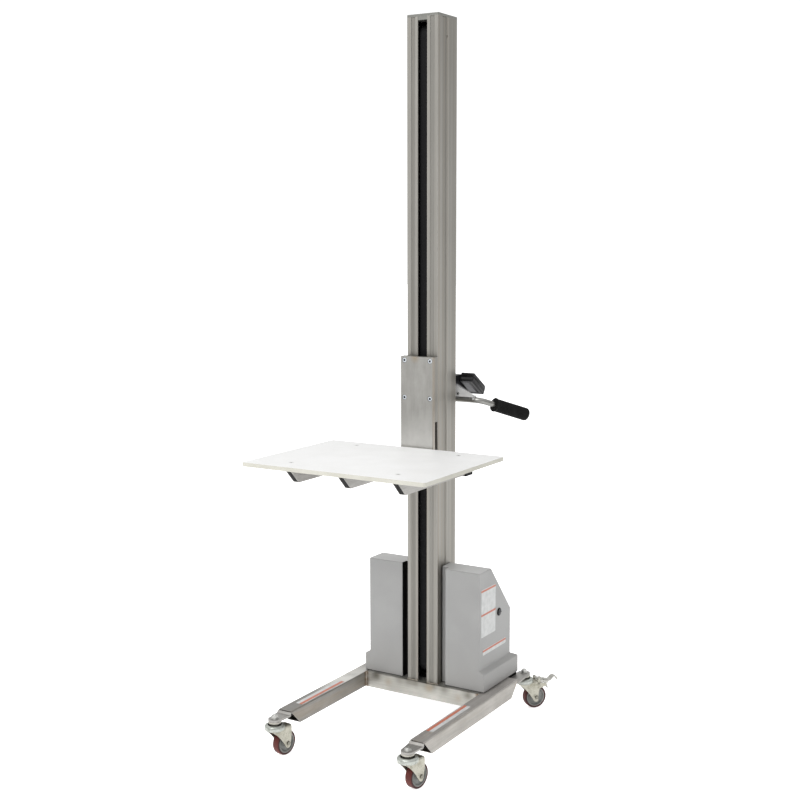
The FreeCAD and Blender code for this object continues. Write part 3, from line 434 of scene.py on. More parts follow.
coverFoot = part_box("housing_cover")[0].z
housingPaint = sprayedPaint("housingPaint", (0.345, 0.345, 0.341), (0.42, 0.42, 0.412), coverFoot)
# a lighter copy of the paint for the housing's tops, as painted light
topLitPaint = sprayedPaint("topLitPaint", (0.58, 0.58, 0.572), (0.66, 0.66, 0.65))
panPaint = sprayedPaint("panPaint", (0.055, 0.055, 0.056), (0.09, 0.09, 0.09))
gearPaint = sprayedPaint("gearPaint", (0.10, 0.11, 0.12), (0.2, 0.2, 0.2))
motorPaint = sprayedPaint("motorPaint", (0.035, 0.036, 0.038), (0.12, 0.12, 0.12))
black = (0.006, 0.006, 0.006)
softBlack = (0.005, 0.005, 0.005)
wornBlack = (0.010, 0.010, 0.010)
# black for the inside of the mast, as painted shade
mastInsideShade = mouldedPlastic("mastInsideShade", black, wornBlack, 0.6, 0.1)
capPlastic = mouldedPlastic("capPlastic", softBlack, wornBlack, sheen=0.12)
controlPlastic = mouldedPlastic("controlPlastic", (0.008, 0.008, 0.009), (0.014, 0.014, 0.016), 0.26, 0.24)
backPlastic = mouldedPlastic("backPlastic", (0.065, 0.065, 0.072), (0.095, 0.095, 0.104), 0.4)
facePlastic = mouldedPlastic("facePlastic", (0.10, 0.10, 0.105), (0.14, 0.14, 0.145), 0.4)
buttonPlastic = mouldedPlastic("buttonPlastic", (0.42, 0.42, 0.41), (0.5, 0.5, 0.49), 0.36)
glidePlastic = mouldedPlastic("glidePlastic", (0.62, 0.62, 0.58), (0.7, 0.7, 0.66))
batteryPlastic = mouldedPlastic("batteryPlastic", (0.03, 0.034, 0.04), (0.06, 0.062, 0.066))
knobPlastic = mouldedPlastic("knobPlastic", (0.05, 0.05, 0.052), (0.09, 0.09, 0.09), 0.35, 0.3)
gapShade = mouldedPlastic("gapShade", black, wornBlack, 0.7, 0.1)
gripRubber = mouldedPlastic("gripRubber", softBlack, wornBlack, 0.6, 0.14, 700.0, 0.0001)
sealRubber = mouldedPlastic("sealRubber", black, (0.011, 0.011, 0.011), 0.5, 0.12)
coreGrey = mouldedPlastic("coreGrey", (0.20, 0.207, 0.196), (0.29, 0.292, 0.28), 0.4, 0.5, 500.0, 0.00006)


def platedZinc(name, bright, dull, grit=0.10):  # passivated plating with a spangle and greasy stains
    zinc = Finish(name, {"Metallic": 1.0})
    cells = zinc.add("TexVoronoi", {"Vector": zinc.place, "Scale": 260.0}, "Distance")
    clouds = zinc.noise(42.0, 5.0, 0.65)
    spots = zinc.noise(160.0, 4.0, 0.7).ramped(0.6, 0.72)
    colour = zinc.mixed(blend((clouds, cells), (0.8, 0.2)).ramped(0.28, 0.62), dull, bright)
    colour = zinc.mixed(spots * 0.5, colour, (grit, grit * 0.9, grit * 0.75))
    rough = 0.30 + clouds * 0.2 + spots * 0.15
    return zinc.done(colour, rough, blend((clouds, cells), (0.7, 0.3)), 0.00008)


forkZinc = platedZinc("forkZinc", (0.50, 0.488, 0.42), (0.28, 0.268, 0.21))
cupZinc = platedZinc("cupZinc", (0.50, 0.52, 0.485), (0.30, 0.315, 0.285))
boltZinc = platedZinc("boltZinc", (0.62, 0.62, 0.60), (0.42, 0.42, 0.40))
screwZinc = platedZinc("screwZinc", (0.66, 0.70, 0.74), (0.44, 0.47, 0.50))
screwGrey = platedZinc("screwGrey", (0.36, 0.36, 0.35), (0.24, 0.24, 0.235))
screwPale = platedZinc("screwPale", (0.66, 0.66, 0.645), (0.54, 0.54, 0.525))
axleZinc = platedZinc("axleZinc", (0.30, 0.29, 0.25), (0.17, 0.165, 0.14))
pedalZinc = platedZinc("pedalZinc", (0.56, 0.555, 0.52), (0.34, 0.335, 0.30))
raceZinc = platedZinc("raceZinc", (0.54, 0.52, 0.47), (0.36, 0.345, 0.305))
weldMetal = platedZinc("weldMetal", (0.40, 0.36, 0.31), (0.17, 0.145, 0.115))
# near black pulleys, as painted shade inside the mast
shadedPulleyAlloy = platedZinc("shadedPulleyAlloy", (0.035, 0.035, 0.037), (0.02, 0.02, 0.021), 0.02)
trolleyAlloy = platedZinc("trolleyAlloy", (0.45, 0.45, 0.44), (0.33, 0.33, 0.32))


def toothedBelt(name):  # woven black belt, finely ribbed across
    belt = Finish(name, {"Metallic": 0.0, "Specular IOR Level": 0.12})
    wave = {"Vector": belt.place, "Scale": 62.0}
    ribs = belt.add("TexWave", wave, wave_type="BANDS", bands_direction="Z")
    fuzz = belt.noise(600.0, 3.0, 0.6)
    colour = belt.mixed(fuzz.ramped(0.4, 0.7), (0.0045, 0.0045, 0.005), (0.011, 0.011, 0.012))
    return belt.done(colour, 0.48 + fuzz * 0.2, blend((ribs, fuzz), (0.6, 0.4)), 0.0003)


def tubeChrome(name):  # bent handle tube with a soft satin shine
    tube = Finish(name, {"Metallic": 1.0})
    haze = tube.noise(30.0, 5.0, 0.6, (0.4, 1, 1))
    marks = tube.noise(300.0, 3.0, 0.6, (0.1, 1, 1))
    colour = tube.mixed(haze.ramped(0.3, 0.7), (0.26, 0.257, 0.245), (0.38, 0.376, 0.36))
    return tube.done(colour, 0.26 + haze * 0.16, marks, 0.00003)


def rolledTyre(name, deep, bright):  # dark red urethane, scuffed and dusty on the tread
    tyre = Finish(name, {"Metallic": 0.0, "Specular IOR Level": 0.28})
    scuffs = tyre.noise(210.0, 4.0, 0.65)
    dirt = tyre.noise(55.0, 5.0, 0.6)
    colour = tyre.mixed(dirt.ramped(0.35, 0.7), deep, bright)
    colour = tyre.mixed(scuffs.ramped(0.6, 0.75) * 0.4, colour, (0.14, 0.09, 0.08))
    return tyre.done(colour, 0.32 + dirt * 0.25, scuffs, 0.00007)


def laminateSheet(name, body, shadow, gloss):  # smooth board, barely mottled, with hairline rubs
    sheet = Finish(name, {"Metallic": 0.0})
    mottle = sheet.noise(9.0, 5.0, 0.55)
    hairs = sheet.noise(240.0, 3.0, 0.6, (0.12, 1, 1))
    marks = sheet.noise(38.0, 6.0, 0.7).ramped(0.66, 0.8)
    colour = sheet.mixed(mottle.ramped(0.3, 0.7), body, shadow)
    colour = sheet.mixed(marks * 0.12, colour, dimmed(shadow, 0.8))
    return sheet.done(colour, gloss + mottle * 0.12 + hairs * 0.06, hairs, 0.000015)


bandSizes = {
    "fade": 0.0003,
    "ageRange": (0.35, 0.7),
    "band": (0.50, 0.155, 0.095),
    "paper": (0.57, 0.58, 0.575),
    "oldPaper": (0.49, 0.50, 0.495),
}


def bandedLabel(name, axis, start, end):  # white film with one orange band
    s = bandSizes
    film = Finish(name, {"Metallic": 0.0})
    fade = s["fade"]
    inside = film.part(axis).within(start - fade, start + fade, end - fade, end + fade)
    age = film.noise(60.0, 5.0, 0.6)
    printed = film.mixed(age.ramped(*s["ageRange"]), s["band"], dimmed(s["band"], 0.85))
    paper = film.mixed(age.ramped(*s["ageRange"]), s["paper"], s["oldPaper"])
    return film.done(film.mixed(inside, paper, printed), 0.32 + age * 0.2, age, 0.00003)


beltBlack = toothedBelt("beltBlack")
handleChrome = tubeChrome("handleChrome")
tyreUrethane = rolledTyre("tyreUrethane", (0.080, 0.013, 0.010), (0.135, 0.024, 0.018))
tyreFlank = rolledTyre("tyreFlank", (0.034, 0.013, 0.013), (0.056, 0.024, 0.022))
boardWhite = laminateSheet("boardWhite", (0.80, 0.80, 0.796), (0.765, 0.765, 0.757), 0.36)
boardEdge = laminateSheet("boardEdge", (0.57, 0.56, 0.50), (0.50, 0.49, 0.43), 0.5)
print("finishes mixed:", len(bpy.data.materials))


def pickOnly(piece):
    bpy.ops.object.select_all(action="DESELECT")
    piece.select_set(True)
    bpy.context.view_layer.objects.active = piece


def openEdit(piece, kind="VERT", action="SELECT"):
    pickOnly(piece)
    bpy.ops.object.mode_set(mode="EDIT")
    bpy.ops.mesh.select_mode(type=kind)
    bpy.ops.mesh.select_all(action=action)


def leaveEdit():
    bpy.ops.object.mode_set(mode="OBJECT")


def settle(piece, name=None):  # puts the place, turn and size into the mesh
    pickOnly(piece)
    if name:
        piece.name = name
        piece.data.name = name
    bpy.ops.object.transform_apply(location=True, rotation=True, scale=True)
    return piece


def addBlock(name, low, high):
    low, high = Vector(low), Vector(high)
    bpy.ops.object.select_all(action="DESELECT")
    bpy.ops.mesh.primitive_cube_add(size=1, location=(low + high) / 2)
    block = bpy.context.active_object
    block.scale = high - low
    return settle(block, name)


def addRod(name, start, end, radius, steps=32):
    start, end = Vector(start), Vector(end)
    bpy.ops.object.select_all(action="DESELECT")
    bpy.ops.mesh.primitive_cylinder_add(vertices=steps, radius=radius, depth=(end - start).length,
                                        location=(start + end) / 2)
    post = bpy.context.active_object
    post.rotation_mode = "QUATERNION"
    post.rotation_quaternion = (end - start).to_track_quat("Z", "Y")
    return settle(post, name)


def addSheet(name, alongX, alongY, middle, size):  # a flat grid
    bpy.ops.object.select_all(action="DESELECT")
    bpy.ops.mesh.primitive_grid_add(x_subdivisions=alongX, y_subdivisions=alongY, size=1, location=middle)
    sheet = bpy.context.active_object
    sheet.scale = (*size, 1)
    return settle(sheet, name)


clues = {  # what a test is told about each part of a mesh
    "VERT": lambda vert: (vert.co,),
    "EDGE": lambda edge: (edge.verts[0].co, edge.verts[1].co),
    "FACE": lambda face: (face.calc_center_median(), face.normal),
}


def mark(piece, kind, wanted):  # leaves edit mode open with those parts picked
    openEdit(piece, kind, "DESELECT")
    cage = bmesh.from_edit_mesh(piece.data)
    for part in {"VERT": cage.verts, "EDGE": cage.edges, "FACE": cage.faces}[kind]:
        if wanted(*clues[kind](part)):
            part.select_set(True)
    bmesh.update_edit_mesh(piece.data)


def scaleAbout(size, centre):
    bpy.ops.transform.resize(value=size, center_override=centre)


def drawOut(move, size=None, centre=(0, 0, 0)):  # extrudes what is picked, then resizes its end
    bpy.ops.mesh.extrude_region_move(TRANSFORM_OT_translate={"value": move})
    if size:
        scaleAbout(size, centre)


def bevelWhere(piece, wanted, offset, segments):
    mark(piece, "EDGE", wanted)
    bpy.ops.mesh.bevel(offset=offset, segments=segments, affect="EDGES")
    leaveEdit()


def sliceOff(piece, spot, outward):
    openEdit(piece)
    bpy.ops.mesh.bisect(plane_co=spot, plane_no=outward, use_fill=True, clear_outer=True)
    leaveEdit()


def useModifier(piece, kind, **settings):
    pickOnly(piece)
    step = piece.modifiers.new(kind.lower(), kind)
    for key, value in settings.items():
        setattr(step, key, value)
    bpy.ops.object.modifier_apply(modifier=step.name)
    return piece


def smoothOff(piece, angle=38):
    pickOnly(piece)
    bpy.ops.object.shade_smooth_by_angle(angle=math.radians(angle))
    return piece


def roundEdges(piece, width, segments=2, angle=32, smooth=42):
    useModifier(piece, "BEVEL", width=width, segments=segments, limit_method="ANGLE",
                angle_limit=math.radians(angle), miter_outer="MITER_ARC")
    return useModifier(smoothOff(piece, smooth), "WEIGHTED_NORMAL", keep_sharp=True)


weldGap = 0.00001


def tidySkin(piece):  # one closed skin that points outwards
    openEdit(piece)
    bpy.ops.mesh.remove_doubles(threshold=weldGap)
    bpy.ops.mesh.normals_make_consistent(inside=False)
    leaveEdit()
    return piece


def mergeFlat(piece):  # one skin without edges inside its flat faces
    openEdit(piece)
    bpy.ops.mesh.remove_doubles(threshold=weldGap)
    bpy.ops.mesh.dissolve_limited(angle_limit=math.radians(0.5))
    leaveEdit()
    return piece


def combine(piece, other, operation):  # the other piece is used up
    useModifier(piece, "BOOLEAN", operation=operation, object=other, solver="EXACT")
    bpy.data.objects.remove(other)
    return piece


def carve(piece, cutter):
    return combine(piece, cutter, "DIFFERENCE")


def weldOn(piece, other):
    return combine(piece, other, "UNION")


def mirrorSkin(piece):
    useModifier(piece, "MIRROR", use_axis=(True, False, False), merge_threshold=0.00002)
    return tidySkin(piece)


def thicken(piece, thickness, offset=-1):
    return useModifier(piece, "SOLIDIFY", thickness=thickness, offset=offset, use_even_offset=True)


def joinUp(name, pieces):
    pickOnly(pieces[0])
    for piece in pieces[1:]:
        piece.select_set(True)
    bpy.ops.object.join()
    joined = bpy.context.active_object
    joined.name = name
    joined.data.name = name
    return joined


def copyTo(name, piece, place):  # a copy with its own mesh, carried to its place
    twin = piece.copy()
    twin.data = piece.data.copy()
    twin.name = name
    twin.data.name = name
    bpy.context.scene.collection.objects.link(twin)
    twin.matrix_world = place
    return settle(twin)


def moveTo(name, draft, place):
    piece = copyTo(name, draft, place)
    bpy.data.objects.remove(draft)
    return piece


def scatter(name, draft, places):  # one piece out of copies, instead of the draft
    twins = [copyTo("twin", draft, place) for place in places]
    bpy.data.objects.remove(draft)
    return joinUp(name, twins)


def turnUp(name, profile, steps=48, ring=False):  # spun about Z from (radius, height) pairs
    radius, height = profile[0]
    bpy.ops.object.select_all(action="DESELECT")
    bpy.ops.mesh.primitive_circle_add(vertices=steps, radius=max(radius, tiny), location=(0, 0, height))
    piece = settle(bpy.context.active_object, name)
    openEdit(piece, "EDGE")
    ends = profile[1:] + [profile[0]] if ring else profile[1:]
    for (r0, h0), (r1, h1) in zip(profile, ends):
        grow = max(r1, tiny) / max(r0, tiny)
        drawOut((0, 0, h1 - h0), (grow, grow, 1), (0, 0, h1))
    leaveEdit()
    return tidySkin(piece)


def dress(piece, *finishes):
    piece.data.materials.clear()
    for finish in finishes:
        piece.data.materials.append(finish)
    return piece


def paintWhere(piece, slot, wanted):
    for face in piece.data.polygons:
        if wanted(face.center, face.normal):
            face.material_index = slot


def seat(piece, body, replaced=()):
    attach(piece, body)
    if replaced:
        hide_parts(*replaced)
    return piece


def facing(place, direction, up=Vector((0, 0, 1))):  # Z along a direction
    out = Vector(direction).normalized()
    side = up.cross(out)
    if side.length < 1e-4:
        side = Vector((1, 0, 0))
    side.normalize()
    return Matrix.Translation(place) @ Matrix((side, out.cross(side), out)).transposed().to_4x4()


def outwards(side, inner, outer):  # a span on one side of the middle, low end first
    return sorted((side * inner, side * outer))


# ready nodes keep their shape and take a finish
carried = {
    "drive_belt": beltBlack,
    "drive_pulley": shadedPulleyAlloy,
    "trolley": trolleyAlloy,
    "glide_pads": glidePlastic,
    "gearbox": gearPaint,
    "drive_motor": motorPaint,
}
for node, material in carried.items():
    dress(nodes[node], material)
print("carried nodes finished:", len(carried))


def mergedCopy(node, name):  # a node's own shape as one sound skin
    piece = bpy.data.objects.new(name, nodes[node].data.copy())
    piece.data.name = name
    bpy.context.scene.collection.objects.link(piece)
    pickOnly(piece)
    bpy.ops.mesh.customdata_custom_splitnormals_clear()
    return mergeFlat(piece)


def softCopy(node, name, width, segments=2, angle=32):  # the same with its edges broken
    return roundEdges(mergedCopy(node, name), width, segments, angle)


softened = (
    ("leg_left", "legLeft", 0.0018, "base", "satin_steel", shadedLeftSteel),
    ("leg_right", "legRight", 0.0018, "base", "satin_steel", legSteel),
    ("front_cross_tube", "frontCrossTube", 0.0012, "base", "satin_steel", tubeSteel),
    ("rear_cross_tube", "rearCrossTube", 0.0012, "base", "satin_steel", tubeSteel),
    ("mast_foot", "mastFoot", 0.0008, "base", "satin_steel", footSteel),
    ("mast_cap", "mastCap", 0.0012, "base", "mast_alloy", capAlloy),
    ("arm_left", "armLeft", 0.0006, "carriage", "satin_steel", armSteel),
    ("arm_centre", "armCentre", 0.0006, "carriage", "satin_steel", armSteel),
    ("arm_right", "armRight", 0.0006, "carriage", "satin_steel", armSteel),
    ("cross_beam", "crossBeam", 0.001, "carriage", "satin_steel", beamSteel),
    ("tube_end_caps", "tubeEndCaps", 0.0012, "carriage", "cap_black", capPlastic),
    ("housing_floor", "housingPan", 0.0008, "base", "pan_dark", panPaint),
    ("batteries", "batteryPair", 0.002, "base", "battery_case", batteryPlastic),
)
for node, name, width, body, slot, material in softened:
    seat(dress(softCopy(node, name, width), material), body, [node])
legLow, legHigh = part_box("leg_right")
# the tops of the legs are repainted as painted light
for name, finish in (("legLeft", shadedLeftTop), ("legRight", litRightTop)):
    leg = bpy.data.objects[name]
    leg.data.materials.append(finish)
    paintWhere(leg, 1, lambda spot, normal: normal.z > 0.9 and spot.z > legHigh.z - 0.0005)
print("edges broken on", len(softened), "pieces")


corners = ("front_left", "front_right", "rear_left", "rear_right")
tongueSizes = {
    "bore": 0.012,
    "reach": 0.1,
    "slack": 0.0005,
    "slim": 0.82,
    "edge": 0.0009,
}


def buildTongues(s):  # each end narrows towards its caster
    tongues = mergedCopy("caster_tongues", "casterTongues")
    for corner in corners:
        stem = Vector(joints[corner + "_caster_swivel"]["pos_m"])
        outward = math.copysign(1, stem.y)
        mark(tongues, "VERT", lambda spot: (spot.y - stem.y) * outward > -s["slack"]
             and s["bore"] < math.hypot(spot.x - stem.x, spot.y - stem.y) < s["reach"])
        scaleAbout((s["slim"], s["slim"], 1), (stem.x, stem.y, 0))
        leaveEdit()
    roundEdges(tongues, s["edge"])
    seat(dress(tongues, tongueSteel), "base", ["caster_tongues"])


buildTongues(tongueSizes)


beamCapSizes = {
    "reach": 0.0036,
    "sleeve": 0.010,
    "drop": 0.0040,
    "wall": 0.0012,
    "edge": 0.0012,
}


def capBeam(s):  # black caps over the open ends of the cross beam
    low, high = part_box("cross_beam")
    caps = []
    for side in sides:
        xs = outwards(side, high.x - s["sleeve"], high.x + s["reach"])
        cap = addBlock("cap", (xs[0], low.y - s["wall"], low.z - s["drop"]),
                       (xs[1], high.y + s["wall"], high.z - s["wall"]))
        caps.append(roundEdges(cap, s["edge"], 2, 40))
    seat(dress(joinUp("beamCaps", caps), capPlastic), "carriage")


capBeam(beamCapSizes)


shadeBlockSizes = {
    "inset": 0.0006,
    "width": 0.022,
    "above": 0.0004,
    "sink": 0.0002,
    "past": 0.012,
    "edge": 0.0006,
}


def fillShadeUnderPan(s):  # dark blocks between the housing's pan and the rear tongues, as painted shade under the flare
    low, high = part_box("housing_floor")
    tongueFoot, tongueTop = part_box("caster_tongues")
    thickness = legHigh.z - tongueTop.z + (tongueTop.z - tongueFoot.z) / 2
    pads = []
    for side in sides:
        xs = outwards(side, high.x - s["inset"], high.x - s["width"])
        pad = addBlock("pad", (xs[0], legHigh.y + s["past"], low.z - thickness + s["above"]),
                       (xs[1], high.y - s["inset"], low.z + s["sink"]))
        pads.append(roundEdges(pad, s["edge"], 2, 40))
    seat(dress(joinUp("panPads", pads), gapShade), "base")


fillShadeUnderPan(shadeBlockSizes)


mastSizes = {
    "shaftJoint": "top_pulley_turn",
    "groove": 0.0025,
    "plug": 0.0080,
    "plugDepth": 0.0004,
    "shaftEnd": 0.0035,
    "edge": 0.0006,
    "innerFront": 0.0058,
    "innerRear": 0.0051,
    "innerSide": 0.0063,
}


def buildMast(s):
    low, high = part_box("mast")
    mast = dress(softCopy("mast", "mastColumn", s["edge"], 1, 40), mastAlloy, mastInsideShade)
    # the mast's inner faces take the black painted shade
    paintWhere(mast, 1, lambda spot, normal: abs(spot.x) < high.x - s["innerSide"]
               and low.y + s["innerFront"] < spot.y < high.y - s["innerRear"])
    seat(mast, "base", ["mast"])
    shaft = Vector(joints[s["shaftJoint"]]["pos_m"])
    plugs = []
    floor = high.x - s["groove"] - tiny
    for side in sides:  # plugs in the side grooves, over the ends of the pulley's shaft
        plug = addRod("plug", (side * (floor - s["plugDepth"]), shaft.y, shaft.z),
                      (side * floor, shaft.y, shaft.z), s["plug"], 40)
        plugs.append(smoothOff(plug, 30))
    seat(dress(joinUp("shaftPlugs", plugs), mastAlloy), "base")
    pulley = mergedCopy("top_pulley", "topPulley")
    end = high.x - s["shaftEnd"]
    for side in sides:
        mark(pulley, "VERT", lambda spot: spot.x * side > end)
        scaleAbout((0, 1, 1), (side * end, 0, 0))
        leaveEdit()
    seat(dress(smoothOff(pulley, 30), shadedPulleyAlloy), "top_pulley", ["top_pulley"])


buildMast(mastSizes)
print("mast stands")


headSizes = {
    "steps": 32,
    "shoulder": 0.7,
    "crown": 0.92,
    "floor": 0.35,
}


def socketHead(name, radius, height, socket, finish, dark=gapShade):  # flat, with a hexagon socket
    s = headSizes
    profile = [(tiny, 0), (radius, 0), (radius, height * s["shoulder"])]
    head = turnUp(name, profile + [(radius * s["crown"], height), (tiny, height)], s["steps"])
    carve(head, addRod("cutter", (0, 0, height * s["floor"]), (0, 0, height * 1.5), socket, 6))
    dress(head, finish, dark)
    # the inside of the socket takes the second finish as painted shade
    paintWhere(head, 1, lambda spot, normal: math.hypot(spot.x, spot.y) < socket * 1.01
               and height * 0.3 < spot.z < height * 0.99)
    return smoothOff(head, 30)


plateSizes = {
    "edge": 0.0007,
    "screwX": 0.045,
    "screwDrop": 0.012,
    "screwPitch": 0.115,
    "seat": 0.0078,
    "seatDepth": 0.0022,
    "head": 0.0070,
    "headDepth": 0.0018,
    "socket": 0.0038,
}


def buildCarriagePlate(s):
    low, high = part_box("carriage_plate")
    plate = addBlock("carriagePlate", low, high)
    deep = s["seatDepth"]
    top = high.z - s["screwDrop"]
    spots = [(side * s["screwX"], top - run) for side in sides for run in (0, s["screwPitch"])]
    for x, z in spots:
        carve(plate, addRod("hole", (x, low.y - deep, z), (x, low.y + deep, z), s["seat"], 40))
    roundEdges(plate, s["edge"], 2, 40)
    seat(dress(plate, plateAlloy), "carriage", ["carriage_plate"])
    head = socketHead("screwHead", s["head"], s["headDepth"], s["socket"], screwZinc)
    screws = scatter("plateScrews", head, [facing((x, low.y + deep, z), (0, -1, 0)) for x, z in spots])
    seat(screws, "carriage", ["carriage_screws"])
    block = softCopy("carriage_block", "carriageBlock", s["edge"], 2, 40)
    seat(dress(block, shadedBlockAlloy), "carriage", ["carriage_block"])


buildCarriagePlate(plateSizes)
print("carriage plate on")


boardSizes = {
    "corner": 0.009,
    "cornerSteps": 10,
    "rearReach": 0.008,
    "edge": 0.0013,
    "rim": 0.011,
    "screwX": 0.180,
    "screwFront": 0.071,
    "screwPitch": 0.346,
    "seat": 0.0072,
    "sink": 0.0012,
    "head": 0.0066,
    "headDepth": 0.0010,
    "socket": 0.0022,
}


def buildBoard(s):
    low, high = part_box("platform_board")
    high.y += s["rearReach"]
    board = addBlock("platformBoard", low, high)
    bevelWhere(board, lambda a, b: abs(a.z - b.z) > 0.001, s["corner"], s["cornerSteps"])
    front = low.y + s["screwFront"]
    spots = [(side * s["screwX"], front + run) for side in sides for run in (0, s["screwPitch"])]
    for x, y in spots:
        carve(board, addRod("hole", (x, y, high.z - s["sink"]), (x, y, high.z + s["sink"]), s["seat"], 40))
    roundEdges(board, s["edge"], 2, 50)
    dress(board, boardWhite, boardEdge)

    def onRim(spot, normal):
        rim = min(spot.x - low.x, high.x - spot.x, spot.y - low.y, high.y - spot.y)
        screw = min(math.hypot(spot.x - x, spot.y - y) for x, y in spots)
        return abs(normal.z) < 0.5 and rim < s["rim"] and screw > s["seat"] * 1.2

    paintWhere(board, 1, onRim)
    seat(board, "carriage", ["platform_board"])
    head = socketHead("screwHead", s["head"], s["headDepth"], s["socket"], screwPale, screwGrey)
    screws = scatter("boardScrews", head, [Matrix.Translation((x, y, high.z - s["sink"])) for x, y in spots])
    seat(screws, "carriage", ["board_screws"])


buildBoard(boardSizes)
print("platform board laid")


coverSizes = {
    "wall": 0.002,
    "fold": 0.0032,
    "topDepth": 0.080,
    "chamferDrop": 0.159,
    "flareOut": 0.018,
    "flareBack": 0.022,
    "flareTop": 0.064,
    "flareSlope": 0.010,
    "notch": 0.079,
    "notchTrim": 0.0024,
    "notchDepth": 0.025,
    "mastGap": 0.0015,
    "switchHole": 0.0093,
    "past": 0.01,
    "lip": 0.0015,
    "skin": 0.0004,
}


def buildCover(s):
    low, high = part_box("housing_cover")
    half = high.x - s["flareOut"]
    rear = high.y - s["flareBack"]
    past = s["past"]
    cover = addBlock("housingCover", (-half, low.y, low.z), (half, rear, high.z))
    run = rear - low.y - s["topDepth"]
    sliceOff(cover, (0, low.y + s["topDepth"], high.z), (0, s["chamferDrop"], run))
    slopeZ = low.z + s["flareTop"] - s["flareSlope"]
    foot = addBlock("foot", (-high.x, low.y, low.z), (high.x, high.y, slopeZ))
    mark(foot, "FACE", lambda spot, normal: normal.z > 0.9)
    drawOut((0, 0, s["flareSlope"]), (half / high.x, (rear - low.y) / (high.y - low.y), 1),
            (0, low.y, slopeZ + s["flareSlope"]))
    leaveEdit()
    weldOn(cover, foot)
    carve(cover, addBlock("notch", (s["notchTrim"] - s["notch"], low.y - past, low.z - past),
                          (s["notch"], low.y + s["notchDepth"], high.z + past)))
    mergeFlat(cover)
    mark(cover, "FACE", lambda spot, normal: normal.z < -0.9 and spot.z < low.z + 0.001)
    bpy.ops.mesh.delete(type="FACE")
    leaveEdit()
    roundEdges(cover, s["fold"], 4, 30)
    thicken(cover, s["wall"])
    reach = mastHigh.x + s["mastGap"]
    carve(cover, addBlock("way", (-reach, low.y - past, low.z - 2 * past),
                          (reach, mastHigh.y + s["mastGap"], high.z + 2 * past)))
    knobLow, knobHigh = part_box("power_knob")
    middle = (knobLow + knobHigh) / 2
    inner, outer = ((half + reach, middle.y, middle.z) for reach in (-past, past))
    carve(cover, addRod("way", inner, outer, s["switchHole"]))
    useModifier(smoothOff(cover, 35), "WEIGHTED_NORMAL", keep_sharp=True)
    dress(cover, housingPaint, gapShade, topLitPaint)
    notchX = s["notch"] + s["skin"]
    notchY = low.y + s["notchDepth"] + s["wall"] + 0.001
    # painted light makes the tops lighter, and painted shade makes the left notch dark
    paintWhere(cover, 2, lambda spot, normal: normal.z > 0.6 and spot.z > high.z - past)
    paintWhere(cover, 1, lambda spot, normal: -notchX < spot.x < 0 and low.y + s["lip"] < spot.y < notchY
               and spot.z < high.z - s["wall"] * 0.6)
    seat(cover, "base", ["housing_cover"])


buildCover(coverSizes)
print("housing cover folded")


labelSizes = {
    "corner": 0.0035,
    "film": 0.0004,
    "band": 0.0062,
    "bandDrop": 0.002,
    "stripBand": 0.0068,
    "stripBandLow": 0.001,
    "stripBandHigh": 0.0016,
    "legBandIn": 0.0022,
    "legBandOut": 0.0130,
    "noticeWidth": 0.096,
    "noticeHeight": 0.076,
    "noticeY": 0.013,
    "noticeZ": 0.166,
    "noticeGap": 0.0002,
    "stripY": 0.025,
    "stripWidth": 0.157,
    "stripZ": 0.107,
    "stripHeight": 0.018,
    "legInner": 0.019,
    "legOuter": 0.0065,
    "legStart": 0.081,
    "leftStart": 0.066,
    "legLength": 0.230,
}


def labelPlate(s, name, low, high, thinAxis, bandAxis, start, end):
    plate = addBlock(name, low, high)
    bevelWhere(plate, lambda a, b: abs(a[thinAxis] - b[thinAxis]) > 0.0001, s["corner"], 5)
    dress(smoothOff(plate, 30), bandedLabel(name, bandAxis, start, end))
    return seat(plate, "base")


def buildLabels(s):
    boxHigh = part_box("label_plates")[1]
    low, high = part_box("housing_cover")
    wallX = high.x - coverSizes["flareOut"]
    skinX = boxHigh.x if boxHigh.x < wallX else wallX + s["film"]
    startY = low.y + s["noticeY"]
    bottom = low.z + s["noticeZ"]
    for name in ("noticeLower", "noticeUpper"):
        top = bottom + s["noticeHeight"]
        labelPlate(s, name, (wallX, startY, bottom), (skinX, startY + s["noticeWidth"], top), 0,
                                 2, top - s["band"] - s["bandDrop"], top - s["bandDrop"])
        bottom = top + s["noticeGap"]
    bottom = low.z + s["stripZ"]
    top = bottom + s["stripHeight"]
    startY = low.y + s["stripY"]
    labelPlate(s, "sideStrip", (wallX, startY, bottom), (skinX, startY + s["stripWidth"], top), 0,
               2, top - s["stripBand"] - s["stripBandLow"], top - s["stripBandHigh"])
    centre = (legLow.x + legHigh.x) / 2
    inner = centre - s["legInner"]
    for side, name, begin in ((1, "legLabelRight", s["legStart"]), (-1, "legLabelLeft", s["leftStart"])):
        startY = legLow.y + begin
        xs = outwards(side, inner, centre + s["legOuter"])
        band = outwards(side, inner + s["legBandIn"], inner + s["legBandOut"])
        foot, top = legHigh.z, legHigh.z + s["film"]
        labelPlate(s, name, (xs[0], startY, foot), (xs[1], startY + s["legLength"], top), 2, 0, *band)
    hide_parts("label_plates")


buildLabels(labelSizes)
print("labels on")


switchSizes = {
    "radius": 0.0125,
    "height": 0.0030,
    "hole": 0.0094,
    "knob": 0.0088,
    "skirt": 0.0035,
    "lip": 0.0006,
    "bar": 0.0034,
    "barFoot": 0.001,
    "reach": 0.58,
    "edge": 0.0008,
}


